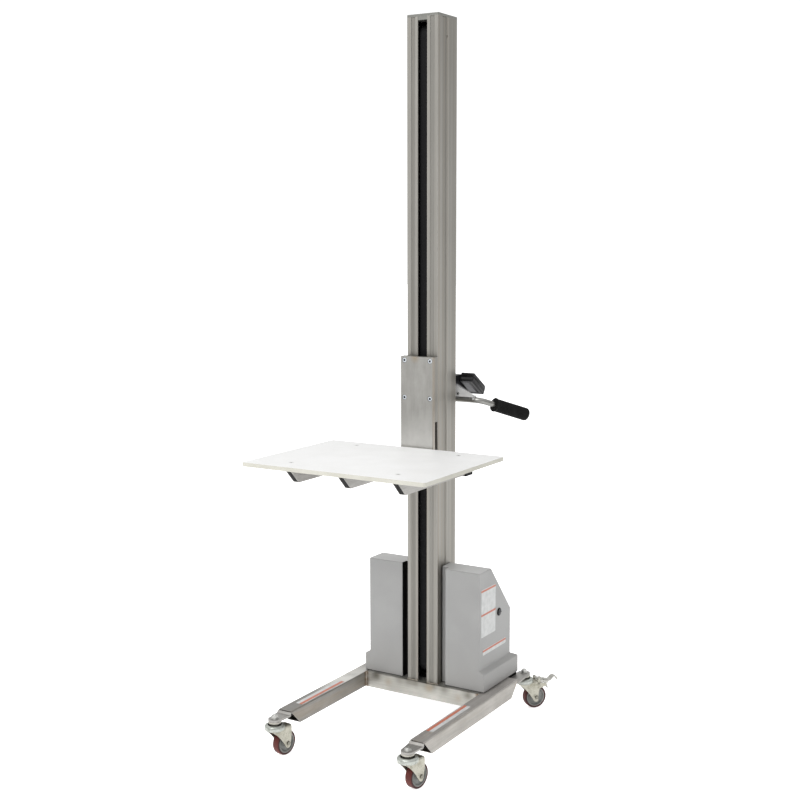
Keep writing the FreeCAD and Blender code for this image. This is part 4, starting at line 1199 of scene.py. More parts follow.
def buildSwitch(s):
    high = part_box("switch_bezel")[1]
    knobLow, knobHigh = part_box("power_knob")
    middle = (knobLow + knobHigh) / 2
    r, height, hole = s["radius"], s["height"], s["hole"]
    wallX = high.x - height
    place = facing((wallX, middle.y, middle.z), (1, 0, 0))
    ring = turnUp("switchRing", [(hole, 0), (r, 0), (r, height * 0.45), (r * 0.93, height * 0.9),
                                 (r * 0.86, height), (hole, height)], 56, True)
    ring = moveTo("switchBezel", ring, place)
    seat(dress(smoothOff(ring), capPlastic), "base", ["switch_bezel"])
    tip = (knobHigh.x - wallX) * s["reach"]
    r, skirt = s["knob"], s["skirt"]
    knob = turnUp("knobDraft", [(tiny, 0), (r, 0), (r, skirt), (r * 0.94, skirt + s["lip"]),
                                (tiny, skirt + s["lip"])], 48)
    bar = addBlock("knobBar", (-s["bar"] / 2, -r * 0.92, s["barFoot"]), (s["bar"] / 2, r * 0.92, tip))
    bevelWhere(bar, lambda a, b: min(a.z, b.z) > tip - 0.0001, s["edge"], 2)
    weldOn(knob, bar)
    knob = moveTo("powerKnob", knob, place @ Matrix.Rotation(math.radians(90), 4, "Z"))
    seat(dress(smoothOff(knob, 30), knobPlastic), "power_knob", ["power_knob"])


buildSwitch(switchSizes)
print("power switch fitted")


weldSizes = {
    "radius": 0.0026,
    "mastRadius": 0.0022,
    "pitch": 0.0030,
    "sides": 10,
    "swell": 0.10,
    "dip": 0.80,
    "foot": 0.003,
    "head": 0.002,
    "topDrop": 0.0016,
    "inset": 0.001,
    "slot": 0.0165,
    "proud": 0.0004,
    "up": (0.3, 0.5, 0.8),
}


def weldRun(s, start, end, radius):  # one rippled bead, half sunk in the corner
    start, end = Vector(start), Vector(end)
    length = (end - start).length
    count = max(3, int(length / s["pitch"]))
    profile = [(tiny, 0), (radius * 0.6, length * 0.004)]
    for step in range(count):
        swell = radius * (1 + dice.uniform(-s["swell"], s["swell"]))
        profile.append((swell, length * (step + 0.35) / count))
        profile.append((swell * s["dip"], length * (step + 0.9) / count))
    profile.append((tiny, length))
    draft = turnUp("draft", profile, s["sides"])
    return smoothOff(moveTo("bead", draft, facing(start, end - start, Vector(s["up"]))), 60)


def buildWelds(s):
    runs = []  # (start, end, radius)
    for node in ("front_cross_tube", "rear_cross_tube"):
        low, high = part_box(node)
        for side in sides:
            x = side * legLow.x
            for y in (low.y, high.y):
                runs.append(((x, y, low.z + s["foot"]), (x, y, high.z - s["head"]), s["radius"]))
            x += side * s["inset"]
            z = high.z - s["topDrop"]
            runs.append(((x, low.y + s["inset"], z), (x, high.y - s["inset"], z), s["radius"]))
    low, high = mastLow, mastHigh
    y = low.y - s["proud"]
    for side in sides:
        x = side * high.x
        runs.append(((side * s["slot"], y, low.z), (x, y, low.z), s["mastRadius"]))
        runs.append(((x, low.y, low.z), (x, high.y, low.z), s["mastRadius"]))
    beads = joinUp("weldBeads", [weldRun(s, *run) for run in runs])
    seat(dress(beads, weldMetal), "base")


buildWelds(weldSizes)
print("joints welded")


# each caster is drafted over its own stem on the ground, trailing along +Y
forkSizes = {
    "halfGap": 0.018,
    "sheet": 0.003,
    "runs": 12,
    "bend": 0.005,
    "bendSteps": 4,
    "top": 0.092,
    "front": -0.026,
    "bendFront": -0.0265,
    "bendPull": 0.0006,
    "rear": 0.0525,
    "wing": 0.0725,
    "wingFoot": 0.069,
    "slim": 0.0042,
    "slimFrom": 0.020,
    "slimRun": 0.020,
    "cheek": (  # (z, front y, rear y) down the cheek
        (0.086, -0.0228, 0.0528), (0.0795, -0.0142, 0.0530), (0.073, -0.0068, 0.0530),
        (0.066, 0.0002, 0.0528), (0.059, 0.0064, 0.0520), (0.052, 0.0120, 0.0508), (0.045, 0.0170, 0.0496),
        (0.0385, 0.0214, 0.0486), (0.033, 0.0248, 0.0478), (0.028, 0.0282, 0.0464), (0.0245, 0.0318, 0.0440),
        (0.0228, 0.0356, 0.0408)),
    "panelLow": 0.044,
    "panel": 0.082,
    "wingPanel": 0.0675,
    "panelFront": -0.002,
    "panelSlope": 0.75,
    "panelRear": 0.047,
    "inset": 0.0016,
    "press": 0.0011,
    "edge": 0.0006,
    "trim": (0, 0.0400, 0.0880),
    "trimSlope": 12.6,
}


def casterMatrix(corner):
    stem = Vector(joints[corner + "_caster_swivel"]["pos_m"])
    wheel = Vector(joints[corner + "_wheel_spin"]["pos_m"])
    turn = math.atan2(wheel.y - stem.y, wheel.x - stem.x) - math.pi / 2
    return Matrix.Translation((stem.x, stem.y, 0)) @ Matrix.Rotation(turn, 4, "Z")


def pressFork(s, name, braked=False):  # crown and two cheeks pressed from one sheet
    bend, top, gap = s["bend"], s["top"], s["halfGap"]
    flat = gap - bend
    crownRear = s["wing"] if braked else s["rear"]
    rows = []  # (x, z, front y, rear y) down the right cheek
    for step in range(1, s["bendSteps"] + 1):
        angle = math.radians(90 * step / s["bendSteps"])
        rows.append((flat + bend * math.sin(angle), top - bend * (1 - math.cos(angle)),
                     s["bendFront"] + s["bendPull"] * step, crownRear))
    for z, front, rear in s["cheek"]:
        if braked:
            share = min(1, (z - s["slimFrom"]) / s["slimRun"])
            rear = s["wing"] if z > s["wingFoot"] else rear - s["slim"] * share
        rows.append((gap, z, front, rear))
    front, rear = s["front"], crownRear
    sheet = addSheet(name, 2, s["runs"], (flat / 2, (front + rear) / 2, top), (flat, rear - front))
    mark(sheet, "EDGE", lambda a, b: min(a.x, b.x) > flat - 0.0001)
    x, z = flat, top
    for nextX, nextZ, nextFront, nextRear in rows:
        middle = (nextFront + nextRear) / 2
        drawOut((nextX - x, middle - (front + rear) / 2, nextZ - z),
                (1, (nextRear - nextFront) / (rear - front), 1), (nextX, middle, nextZ))
        x, z, front, rear = nextX, nextZ, nextFront, nextRear
    leaveEdit()
    panelTop = s["wingPanel"] if braked else s["panel"]
    mark(sheet, "FACE", lambda spot, normal: spot.x > gap - 0.0002 and s["panelLow"] < spot.z < panelTop
         and s["panelFront"] + (s["panel"] - spot.z) * s["panelSlope"] < spot.y < s["panelRear"])
    bpy.ops.mesh.inset(thickness=s["inset"], depth=-s["press"])
    leaveEdit()
    mirrorSkin(sheet)
    mark(sheet, "FACE", lambda spot, normal: abs(spot.z - top) < 0.0001)
    cage = bmesh.from_edit_mesh(sheet.data)
    down = sum(face.normal.z for face in cage.faces if face.select) < 0
    bpy.ops.mesh.select_all(action="SELECT")
    if down:
        bpy.ops.mesh.flip_normals()
    leaveEdit()
    thicken(sheet, s["sheet"])
    return roundEdges(sheet, s["edge"], 2, 40, 50)


# (radius, height) outlines of the caster's turned pieces
cupOutline = (
    (0.0122, 0.0965), (0.0196, 0.0965), (0.0206, 0.0975), (0.0206, 0.1036), (0.0214, 0.1043),
    (0.0234, 0.1045), (0.0262, 0.1035), (0.0288, 0.1018), (0.0301, 0.0998), (0.0305, 0.0975),
    (0.0305, 0.0925), (0.0298, 0.0900), (0.0280, 0.0880), (0.0240, 0.0855), (0.0200, 0.0838),
    (0.0165, 0.0832), (0.0122, 0.0832))
sealOutline = (
    (0.0158, 0.0966), (0.0203, 0.0966), (0.0203, 0.1022), (0.0194, 0.1030), (0.0176, 0.1026),
    (0.0158, 0.1016))
raceOutline = (
    (0.0068, 0.1149), (0.0186, 0.1149), (0.0194, 0.1141), (0.0194, 0.1104), (0.0186, 0.1076),
    (0.0172, 0.1060), (0.0152, 0.1056), (0.0152, 0.0972), (0.0068, 0.0972))
coreOutline = (
    (0.0043, -0.0142), (0.0088, -0.0142), (0.0098, -0.0132), (0.0102, -0.0066), (0.0118, -0.0054),
    (0.0200, -0.0050), (0.0215, -0.0061), (0.0228, -0.0061), (0.0238, -0.0050), (0.0262, -0.0052),
    (0.0272, -0.0064), (0.0276, -0.0106), (0.0284, -0.0114), (0.0306, -0.0114), (0.0310, -0.0110))


def turnOutline(name, outline, steps, angle):
    return smoothOff(turnUp(name, list(outline), steps, True), angle)


def bothWays(outline):  # the same outline again above the middle
    return list(outline) + [(radius, -along) for radius, along in reversed(outline)]


def hexHead(name, flats, low, high, crown):  # chamfered hexagon with a domed top
    corner = flats / math.sqrt(3)
    head = addRod(name, (0, 0, low), (0, 0, high), corner, 6)
    foot = low - 0.001
    cap = turnUp("cap", [(tiny, foot), (corner * 1.02, foot), (corner * 1.02, high - crown * 1.6),
                         (flats / 2 * 0.98, high - crown * 0.5), (flats * 0.32, high), (tiny, high)], 48)
    return smoothOff(combine(head, cap, "INTERSECT"), 28)


kingpinSizes = {
    "bore": 0.006,
    "washer": 0.0118,
    "washerLow": 0.121,
    "washerHigh": 0.1232,
    "edge": 0.0004,
    "flats": 0.017,
    "thread": 0.0058,
    "threadLow": 0.0815,
    "tip": 0.0008,
    "nutLow": 0.0808,
    "nutHigh": 0.0884,
    "tall": 0.0085,
    "low": 0.0042,
}


def buildKingpin(s, name, headHeight):
    r, low, high, edge = s["washer"], s["washerLow"], s["washerHigh"], s["edge"]
    rim = [(r - edge, low), (r, low + edge), (r, high - edge), (r - edge, high)]
    washer = smoothOff(turnUp("washer", [(s["bore"], low)] + rim + [(s["bore"], high)], 40, True))
    end = high + headHeight
    head = hexHead("head", s["flats"], high, end, 0.0016)
    r, tip = s["thread"], s["tip"]
    shank = [(tiny, s["threadLow"]), (r, s["threadLow"]), (r, end + tip)]
    stud = turnUp("stud", shank + [(r - tip, end + 2 * tip), (tiny, end + 2 * tip)], 28)
    smoothOff(stud, 30)
    nut = hexHead("nut", s["flats"], s["nutLow"], s["nutHigh"], 0.001)
    return joinUp(name, [washer, head, stud, nut])


wheelSizes = {
    "radius": 0.0375,
    "halfTyre": 0.0120,
    "rim": 0.0311,
    "lip": 0.0009,
    "chamfer": 0.0008,
    "round": 0.0034,
    "roundSteps": 4,
    "trail": 0.038,
}


def buildTyre(s, name):  # spun about Z through its own centre
    half, curve = s["halfTyre"], s["round"]
    inner = s["radius"] - curve
    profile = [(s["rim"], s["chamfer"] - half), (s["rim"] + s["lip"], -half), (inner, -half)]
    for step in range(1, s["roundSteps"] + 1):
        angle = math.radians(90 * step / s["roundSteps"])
        profile.append((inner + curve * math.sin(angle), -half + curve * (1 - math.cos(angle))))
    tyre = turnOutline(name, bothWays(profile), 72, 50)
    dress(tyre, tyreUrethane, tyreFlank)
    paintWhere(tyre, 1, lambda spot, normal: abs(normal.z) > 0.8)
    return tyre


axleSizes = {
    "reach": 0.018,
    "flats": 0.0108,
    "headLow": 0.0008,
    "headHigh": 0.0042,
    "crown": 0.0010,
    "bore": 0.0045,
    "washer": 0.0066,
    "washerLow": 0.0001,
    "washerHigh": 0.0010,
    "shank": ((tiny, -0.0248), (0.0036, -0.0248), (0.0040, -0.0242), (0.0040, 0.018), (tiny, 0.018)),
}


def buildAxle(s, name):
    reach = s["reach"]
    over = Matrix.Rotation(math.pi, 4, "X")
    ends = reach + s["headLow"], reach + s["headHigh"]
    low, high = reach + s["washerLow"], reach + s["washerHigh"]
    ring = [(s["bore"], low), (s["washer"], low), (s["washer"], high), (s["bore"], high)]
    head = hexHead("head", s["flats"], *ends, s["crown"])
    nut = hexHead("nut", s["flats"], *ends, s["crown"])
    washers = []
    for turn in (Matrix.Identity(4), over):
        washers.append(moveTo("washer", turnUp("washer", ring, 32, True), turn))
    other = moveTo("nutOver", nut, over)
    shank = smoothOff(turnUp("shank", list(s["shank"]), 24), 30)
    return joinUp(name, [head, other, shank] + washers)


pedalSizes = {
    "halfWidth": 0.0128,
    "sheet": 0.0026,
    "start": 0.002,
    "path": (  # (y, z, share of the width)
        (0.0450, 0.0935, 1), (0.0520, 0.0922, 1), (0.0640, 0.0900, 1), (0.0760, 0.0876, 1),
        (0.0830, 0.0864, 0.99), (0.0880, 0.0862, 0.97), (0.0925, 0.0882, 0.94), (0.0965, 0.0920, 0.91),
        (0.1005, 0.0960, 0.89), (0.1045, 0.0985, 0.87), (0.1088, 0.0988, 0.84), (0.1128, 0.0962, 0.80),
        (0.1158, 0.0924, 0.76), (0.1178, 0.0880, 0.73), (0.1188, 0.0836, 0.70)),
    "skirtFrom": 0.0500,
    "skirtTo": 0.0890,
    "skirt": 0.0070,
    "edge": 0.0007,
    "ribs": ((0.0535, 0.0100, 0.0985), (0.0690, 0.0072, 0.0938), (0.0780, 0.0072, 0.0906)),  # (y, depth, top)
    "ribLow": 0.0862,
    "ribEdge": 0.0024,
    "pivotY": 0.046,
    "pivotZ": 0.097,
    "rods": (("barrel", 0.0128, 0.0043, 32, 0.0005), ("pin", 0.0196, 0.0026, 24, 0.0006)),
    "shoeLow": (-0.0085, 0.0745, 0.0592),
    "shoeHigh": (0.0085, 0.0768, 0.0862),
    "shoeTilt": 0.0085,
    "shoeEdge": 0.0008,
}


def buildPedal(s, name):  # pressed lever with a curled toe, pivot across X
    half, start = s["halfWidth"], s["start"]
    y, z, wide = s["path"][0]
    lever = addSheet(name, 6, 1, (0, y + start / 2, z), (2 * half, start))
    y += start
    mark(lever, "EDGE", lambda a, b: min(a.y, b.y) > y - 0.0005)
    for nextY, nextZ, nextWide in s["path"][1:]:
        drawOut((0, nextY - y, nextZ - z), (nextWide / wide, 1, 1), (0, nextY, nextZ))
        y, z, wide = nextY, nextZ, nextWide
    leaveEdit()
    mark(lever, "EDGE", lambda a, b: min(abs(a.x), abs(b.x)) > half * 0.97 and s["skirtFrom"] < min(a.y, b.y)
         and max(a.y, b.y) < s["skirtTo"])
    drawOut((0, 0, -s["skirt"]))
    leaveEdit()
    thicken(tidySkin(lever), s["sheet"], 0)
    roundEdges(lever, s["edge"], 2, 40, 50)
    parts = [lever]
    for y, deep, high in s["ribs"]:
        rib = addBlock("rib", (-half * 0.80, y, s["ribLow"]), (half * 0.80, y + deep, high))
        parts.append(roundEdges(rib, s["ribEdge"], 4, 40))
    y, z = s["pivotY"], s["pivotZ"]
    for part, reach, radius, steps, edge in s["rods"]:
        parts.append(roundEdges(addRod(part, (-reach, y, z), (reach, y, z), radius, steps), edge))
    shoe = addBlock("shoe", s["shoeLow"], s["shoeHigh"])
    mark(shoe, "FACE", lambda spot, normal: normal.z < -0.9)
    bpy.ops.transform.translate(value=(0, s["shoeTilt"], 0))
    leaveEdit()
    parts.append(roundEdges(shoe, s["shoeEdge"], 2, 30))
    return joinUp(name, parts)


earSizes = {
    "inner": 0.0150,
    "outer": 0.0180,
    "radius": 0.0048,
    "footFront": 0.0412,
    "footRear": 0.0508,
    "footLow": 0.0800,
    "edge": 0.0005,
}


def buildBrakeEars(s, name):  # two lugs on the crown that hold the lever's pin
    y, z = pedalSizes["pivotY"], pedalSizes["pivotZ"]
    ears = []
    for side in sides:
        low, high = outwards(side, s["inner"], s["outer"])
        ear = addRod("ear", (low, y, z), (high, y, z), s["radius"], 32)
        weldOn(ear, addBlock("foot", (low, s["footFront"], s["footLow"]), (high, s["footRear"], z)))
        ears.append(roundEdges(ear, s["edge"], 2, 40))
    return joinUp(name, ears)


def buildCasters():
    fork = pressFork(forkSizes, "forkDraft")
    brakedFork = pressFork(forkSizes, "brakedForkDraft", True)
    slope = Matrix.Rotation(-math.radians(forkSizes["trimSlope"]), 4, "X")
    block = addBlock("block", (-0.03, 0, 0), (0.03, 0.06, 0.03))
    carve(brakedFork, moveTo("trim", block, Matrix.Translation(forkSizes["trim"]) @ slope))
    cup = dress(turnOutline("cupDraft", cupOutline, 64, 50), cupZinc)
    seal = turnOutline("sealDraft", sealOutline, 56, 50)
    race = turnOutline("raceDraft", raceOutline, 56, 50)
    ears = dress(buildBrakeEars(earSizes, "earsDraft"), forkZinc)
    tyre = buildTyre(wheelSizes, "tyreDraft")
    core = turnOutline("coreDraft", bothWays(coreOutline), 64, 40)
    axle = buildAxle(axleSizes, "axleDraft")
    pedal = buildPedal(pedalSizes, "pedalDraft")
    tall = buildKingpin(kingpinSizes, "tallPin", kingpinSizes["tall"])
    low = buildKingpin(kingpinSizes, "lowPin", kingpinSizes["low"])
    for draft, finish in ((fork, forkZinc), (brakedFork, forkZinc), (seal, sealRubber), (core, coreGrey),
                          (axle, axleZinc), (pedal, pedalZinc), (tall, boltZinc), (low, boltZinc),
                          (race, raceZinc)):
        dress(draft, finish)
    onWheel = facing((0, wheelSizes["trail"], wheelSizes["radius"]), (1, 0, 0))
    pins, races = [], []
    for corner in corners:
        place = casterMatrix(corner)
        braked = corner.startswith("rear")
        tag = corner.replace("_l", "L").replace("_r", "R")
        swivel = corner + "_swivel"
        roller = corner + "_roller"
        parts = [copyTo("shell", brakedFork if braked else fork, place), copyTo("cup", cup, place)]
        if braked:
            parts.append(copyTo("ears", ears, place))
        seat(joinUp(tag + "Fork", parts), swivel, [corner + "_fork"])
        seat(copyTo(tag + "DustSeal", seal, place), swivel)
        seat(copyTo(tag + "AxleBolt", axle, place @ onWheel), swivel, [corner + "_axle"])
        seat(copyTo(tag + "WheelCore", core, place @ onWheel), roller, [corner + "_wheel"])
        seat(copyTo(tag + "Tyre", tyre, place @ onWheel), roller, [corner + "_tyre"])
        races.append(copyTo("race", race, place))
        pins.append(copyTo("pin", low if corner == "front_right" else tall, place))
        if braked:
            lever = copyTo(tag + "BrakePedal", pedal, place)
            seat(lever, corner + "_pedal", [corner + "_brake_pedal"])
    for draft in (fork, brakedFork, cup, seal, race, ears, tyre, core, axle, pedal, tall, low):
        bpy.data.objects.remove(draft)
    seat(joinUp("kingpins", pins), "base", ["caster_bolts"])
    seat(joinUp("bearingRaces", races), "base")


buildCasters()
print("casters assembled")


barSizes = {
    "core": 0.0080,
    "radius": 0.0094,
    "cornerX": 0.125,
    "bend": 0.036,
    "azimuth": 60.0,
    "drop": 18.2,
    "reach": 0.178,
    "sides": 32,
    "bendSteps": 12,
}
barLow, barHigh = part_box("handlebar")
barY, barZ = barLow.y + barSizes["core"], barHigh.z - barSizes["core"]


def buildBar(s):
    azimuth, drop = math.radians(s["azimuth"]), math.radians(s["drop"])
    level = math.cos(drop)
    outward = Vector((math.cos(azimuth) * level, math.sin(azimuth) * level, -math.sin(drop)))
    turn = math.acos(outward.x)
    tangent = s["bend"] * math.tan(turn / 2)
    corner = Vector((s["cornerX"], barY, barZ))
    side = (outward - Vector((outward.x, 0, 0))).normalized()
    centre = corner - Vector((tangent, 0, 0)) + side * s["bend"]
    axis = side.cross(Vector((1, 0, 0)))  # spin turns left-handed about its axis
    bpy.ops.object.select_all(action="DESELECT")
    bpy.ops.mesh.primitive_circle_add(vertices=s["sides"], radius=s["radius"], location=(0, barY, barZ),
                                      rotation=(0, math.radians(90), 0))
    bar = settle(bpy.context.active_object, "handleBar")
    openEdit(bar, "EDGE")
    drawOut((s["cornerX"] - tangent, 0, 0))
    bpy.ops.mesh.spin(steps=s["bendSteps"], angle=turn, center=centre, axis=axis)
    drawOut(outward * (s["reach"] - tangent))
    bpy.ops.mesh.edge_face_add()
    leaveEdit()
    smoothOff(mirrorSkin(bar), 40)
    seat(dress(bar, handleChrome), "base", ["handlebar"])
    return corner, outward


gripSizes = {
    "bore": 0.0097,
    "boreDepth": 0.0118,
    "start": 0.0515,
    "length": 0.1315,
    "radius": 0.0207,
    "flange": 0.0222,
    "sides": 96,
    "flangeRings": ((0.93, 0), (1, 0.0010), (1, 0.0038), (0.97, 0.0052)),  # (share of the flange, height)
    "neckRings": ((0.97, 0.0068), (0.96, 0.0100), (1, 0.0135)),  # (share of the radius, height)
    "bodyStart": 0.0135,
    "bodyEnd": 0.0140,
    "bodySteps": 11,
    "endRings": (  # (share of the radius, distance from the end)
        (1.01, 0.0090), (0.99, 0.0058), (0.93, 0.0030), (0.83, 0.0013), (0.62, 0.0004), (0.30, 0)),
    "groove": 0.945,
    "grooveStart": 0.0128,
    "grooveEnd": 0.0120,
    "scallop": 0.91,
    "scallopStart": 0.0010,
    "scallopEnd": 0.0046,
}


def buildGrip(s, corner, outward):
    radius, flange, length, bore = s["radius"], s["flange"], s["length"], s["bore"]
    rings = [(tiny, s["boreDepth"]), (bore, s["boreDepth"]), (bore, 0)]
    rings += [(flange * share, height) for share, height in s["flangeRings"]]
    rings += [(radius * share, height) for share, height in s["neckRings"]]
    run = length - s["bodyStart"] - s["bodyEnd"]
    rings += [(radius, s["bodyStart"] + run * step / s["bodySteps"]) for step in range(1, s["bodySteps"] + 1)]
    rings += [(radius * share, length - back) for share, back in s["endRings"]] + [(tiny, length)]
    grip = turnUp("gripDraft", rings, s["sides"])
    pitch = 2 * math.pi / s["sides"]

    def rib(spot):  # which of the grip's sides a point is on
        return round(math.atan2(spot.y, spot.x) / pitch) % s["sides"]

    cuts = (
        (s["grooveStart"], length - s["grooveEnd"], 3, (0,), s["groove"]),
        (s["scallopStart"], s["scallopEnd"], 12, (5, 6, 7), s["scallop"]),
    )
    for low, high, every, chosen, shrink in cuts:
        mark(grip, "VERT", lambda spot: low < spot.z < high and rib(spot) % every in chosen)
        scaleAbout((shrink, shrink, 1), (0, 0, 0))
        leaveEdit()
    dress(smoothOff(grip, 24), gripRubber)
    start = corner + outward * s["start"]
    for side, name, node in ((1, "gripRight", "grip_right"), (-1, "gripLeft", "grip_left")):
        place = facing((side * start.x, start.y, start.z), (side * outward.x, outward.y, outward.z))
        seat(copyTo(name, grip, place), "base", [node])
    bpy.data.objects.remove(grip)


buildGrip(gripSizes, *buildBar(barSizes))
print("handlebar bent, grips on")


bracketSizes = {
    "thick": 0.004,
    "webX": 0.042,
    "webDrop": 0.004,
    "slopeX": 0.045,
    "endX": 0.1045,
    "slopeDrop": 0.0270,
    "behind": 0.012,
    "earLow": 0.002,
    "earRear": 0.006,
    "earReach": 0.005,
    "way": 0.12,
    "slack": 0.00005,
    "edge": 0.0009,
    "boltX": 0.0500,
    "boltZ": 1.0405,
    "bolt": 0.0046,
    "boltHigh": 0.0030,
}


def buildBracket(s):
    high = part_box("handle_bracket")[1]
    thick = s["thick"]
    bottom = barZ + barSizes["radius"]
    plateY = barY - s["behind"]
    webX, endX, back = s["webX"], s["endX"], mastHigh.y
    flange = addBlock("handleBracket", (-webX, back, bottom), (webX, back + thick, high.z))
    plate = addBlock("plate", (-endX, plateY, bottom), (endX, plateY + thick, high.z))
    for side in sides:
        sliceOff(plate, (side * s["slopeX"], 0, high.z), (side * s["slopeDrop"], 0, endX - s["slopeX"]))
    tidySkin(plate)
    for side in sides:
        xs = outwards(side, webX, webX - thick)
        weldOn(flange, addBlock("web", (xs[0], back, bottom),
                                (xs[1], plateY + thick * 0.5, high.z - s["webDrop"])))
    weldOn(flange, plate)
    for side in sides:
        xs = outwards(side, endX, endX - thick)
        weldOn(flange, addBlock("ear", (xs[0], plateY, barZ + s["earLow"]),
                                (xs[1], barY + s["earRear"], bottom + s["earReach"])))
    way, radius = s["way"], barSizes["radius"] + s["slack"]
    carve(flange, addRod("way", (-way, barY, barZ), (way, barY, barZ), radius, 48))
    roundEdges(flange, s["edge"], 2, 35)
    seat(dress(flange, bracketSteel), "base", ["handle_bracket"])
    draft = socketHead("boltDraft", s["bolt"], s["boltHigh"], s["bolt"] * 0.5, screwGrey)
    places = [facing((side * s["boltX"], plateY, s["boltZ"]), (0, -1, 0)) for side in sides]
    seat(scatter("bracketBolts", draft, places), "base")


buildBracket(bracketSizes)


controlSizes = {
    "left": 0.050,
    "width": 0.048,
    "length": 0.0945,
    "thick": 0.030,
    "tilt": 33.0,
    "behind": 0.009,
    "rise": 0.085,
    "nose": 0.012,
    "edge": 0.0034,
    "past": 0.01,
    "faceMargin": 0.005,
    "faceStart": 0.010,
    "faceEnd": 0.083,
    "faceCorner": 0.004,
    "faceGap": 0.0003,
    "faceTop": 0.0004,
    "faceEdge": 0.0004,
    "recess": 0.0020,
    "seamLow": 0.0166,
    "seamHigh": 0.0158,
    "seamDepth": 0.0007,
    "panelLeft": 0.056,
    "panelRight": 0.080,
    "panelStart": 0.0093,
    "panelEnd": 0.0772,
    "panelGap": 0.0008,
    "panelSink": 0.0010,
    "panelEdge": 0.0007,
    "pocketSink": 0.0012,
    "groove": (0.0060, 0.0072),
    "grooveEnd": 0.012,
    "button": 0.0086,
    "buttonPlace": 0.030,
    "buttonPitch": 0.036,
    "buttonLow": -0.0019,
    "buttonRings": (  # (share of the radius, height)
        (1, -0.0019), (1, 0.0026), (0.96, 0.0034), (0.86, 0.0039), (0.74, 0.0039), (0.66, 0.0034)),
    "buttonDish": 0.0031,
    "well": 0.0065,
    "wellGap": 0.0008,
    "holeGap": 0.0006,
}
holderSizes = {
    "left": 0.014,
    "right": 0.0497,
    "low": 1.02,
    "high": 1.1000,
    "rear": 0.31,
    "footY": 0.2074,
    "footZ": 1.0712,
    "tipY": 0.3000,
    "tipZ": 1.0335,
    "inset": 0.004,
    "edge": 0.0022,
}


def buildHolder(s):  # black arm from the mast that carries the control's left cheek
    holder = addBlock("controlHolder", (s["left"], mastHigh.y, s["low"]), (s["right"], s["rear"], s["high"]))
    tilt = math.radians(controlSizes["tilt"])
    top = (0, barY + controlSizes["behind"], barZ + controlSizes["rise"] - s["inset"])
    sliceOff(holder, top, (0, math.sin(tilt), math.cos(tilt)))
    sliceOff(holder, (0, s["footY"], s["footZ"]), (0, s["tipZ"] - s["footZ"], s["footY"] - s["tipY"]))
    roundEdges(tidySkin(holder), s["edge"], 3, 25)
    seat(dress(holder, controlPlastic), "base", ["control_holder"])


def buildControl(s):  # drafted flat with its face up and its nose along +Y, then tilted into place
    spin = Matrix.Rotation(-math.radians(s["tilt"]), 4, "X")
    place = Matrix.Translation((0, barY + s["behind"], barZ + s["rise"])) @ spin
    left, right = s["left"], s["left"] + s["width"]
    length, thick, past = s["length"], s["thick"], s["past"]
    body = addBlock("controlDraft", (left, 0, -thick), (right, length, 0))
    bevelWhere(body, lambda a, b: min(a.y, b.y) > length - 0.001 and min(a.z, b.z) > -0.001, s["nose"], 8)
    roundEdges(body, s["edge"], 4, 45, 40)
    window = addBlock("window", (left + s["faceMargin"], s["faceStart"], -s["recess"]),
                      (right - s["faceMargin"], s["faceEnd"], past))
    bevelWhere(window, lambda a, b: abs(a.z - b.z) > 0.005, s["faceCorner"], 5)
    carve(body, window)
    deep = s["seamDepth"]
    ring = addBlock("seam", (left - past, -past, -s["seamLow"]),
                    (right + past, length + past, -s["seamHigh"]))
    carve(ring, addBlock("core", (left + deep, deep, -2 * past), (right - deep, length - deep, -past)))
    carve(body, ring)
    gap = s["panelGap"]
    carve(body, addBlock("pocket", (s["panelLeft"] - gap, s["panelStart"] - gap, -thick - past),
                         (s["panelRight"] + gap, s["panelEnd"] + gap, s["pocketSink"] - thick)))
    middle = (left + right) / 2
    runs = {"up_button": s["buttonPlace"], "down_button": s["buttonPlace"] + s["buttonPitch"]}
    for run in runs.values():  # room for the caps to go down
        radius = s["button"] + s["wellGap"]
        carve(body, addRod("well", (middle, run, -s["well"]), (middle, run, past), radius, 48))
    inner, outer = s["groove"]
    carve(body, addBlock("groove", (s["panelRight"] + inner, inner, -thick - past),
                         (s["panelRight"] + outer, length - s["grooveEnd"], gap - thick)))
    shell = moveTo("controlHousing", smoothOff(body, 32), place)
    seat(dress(shell, controlPlastic), "base", ["control_housing"])
    panel = addBlock("panelDraft", (s["panelLeft"], s["panelStart"], -thick - gap),
                     (s["panelRight"], s["panelEnd"], s["panelSink"] - thick))
    back = moveTo("controlBack", roundEdges(panel, s["panelEdge"], 2, 40), place)
    seat(dress(back, backPlastic), "base", ["control_back"])
    margin = s["faceMargin"] + s["faceGap"]
    face = addBlock("faceDraft", (left + margin, s["faceStart"] + s["faceGap"], -s["recess"] - 0.0005),
                    (right - margin, s["faceEnd"] - s["faceGap"], -s["faceTop"]))
    bevelWhere(face, lambda a, b: abs(a.z - b.z) > 0.001, s["faceCorner"] - s["faceGap"], 5)
    for run in runs.values():
        radius = s["button"] + s["holeGap"]
        carve(face, addRod("way", (middle, run, -past), (middle, run, past), radius, 48))
    plate = moveTo("controlFace", roundEdges(face, s["faceEdge"], 2, 40), place)
    seat(dress(plate, facePlastic), "base", ["control_face"])
    rings = [(s["button"] * share, height) for share, height in s["buttonRings"]]
    for node, run in runs.items():
        button = turnUp("buttonDraft", [(tiny, s["buttonLow"])] + rings + [(tiny, s["buttonDish"])], 48)
        spot = place @ Matrix.Translation((middle, run, 0))
        cap = moveTo(node.replace("_b", "B"), smoothOff(button, 30), spot)
        seat(dress(cap, buttonPlastic), node, [node])


buildHolder(holderSizes)
buildControl(controlSizes)
print("hand control mounted")


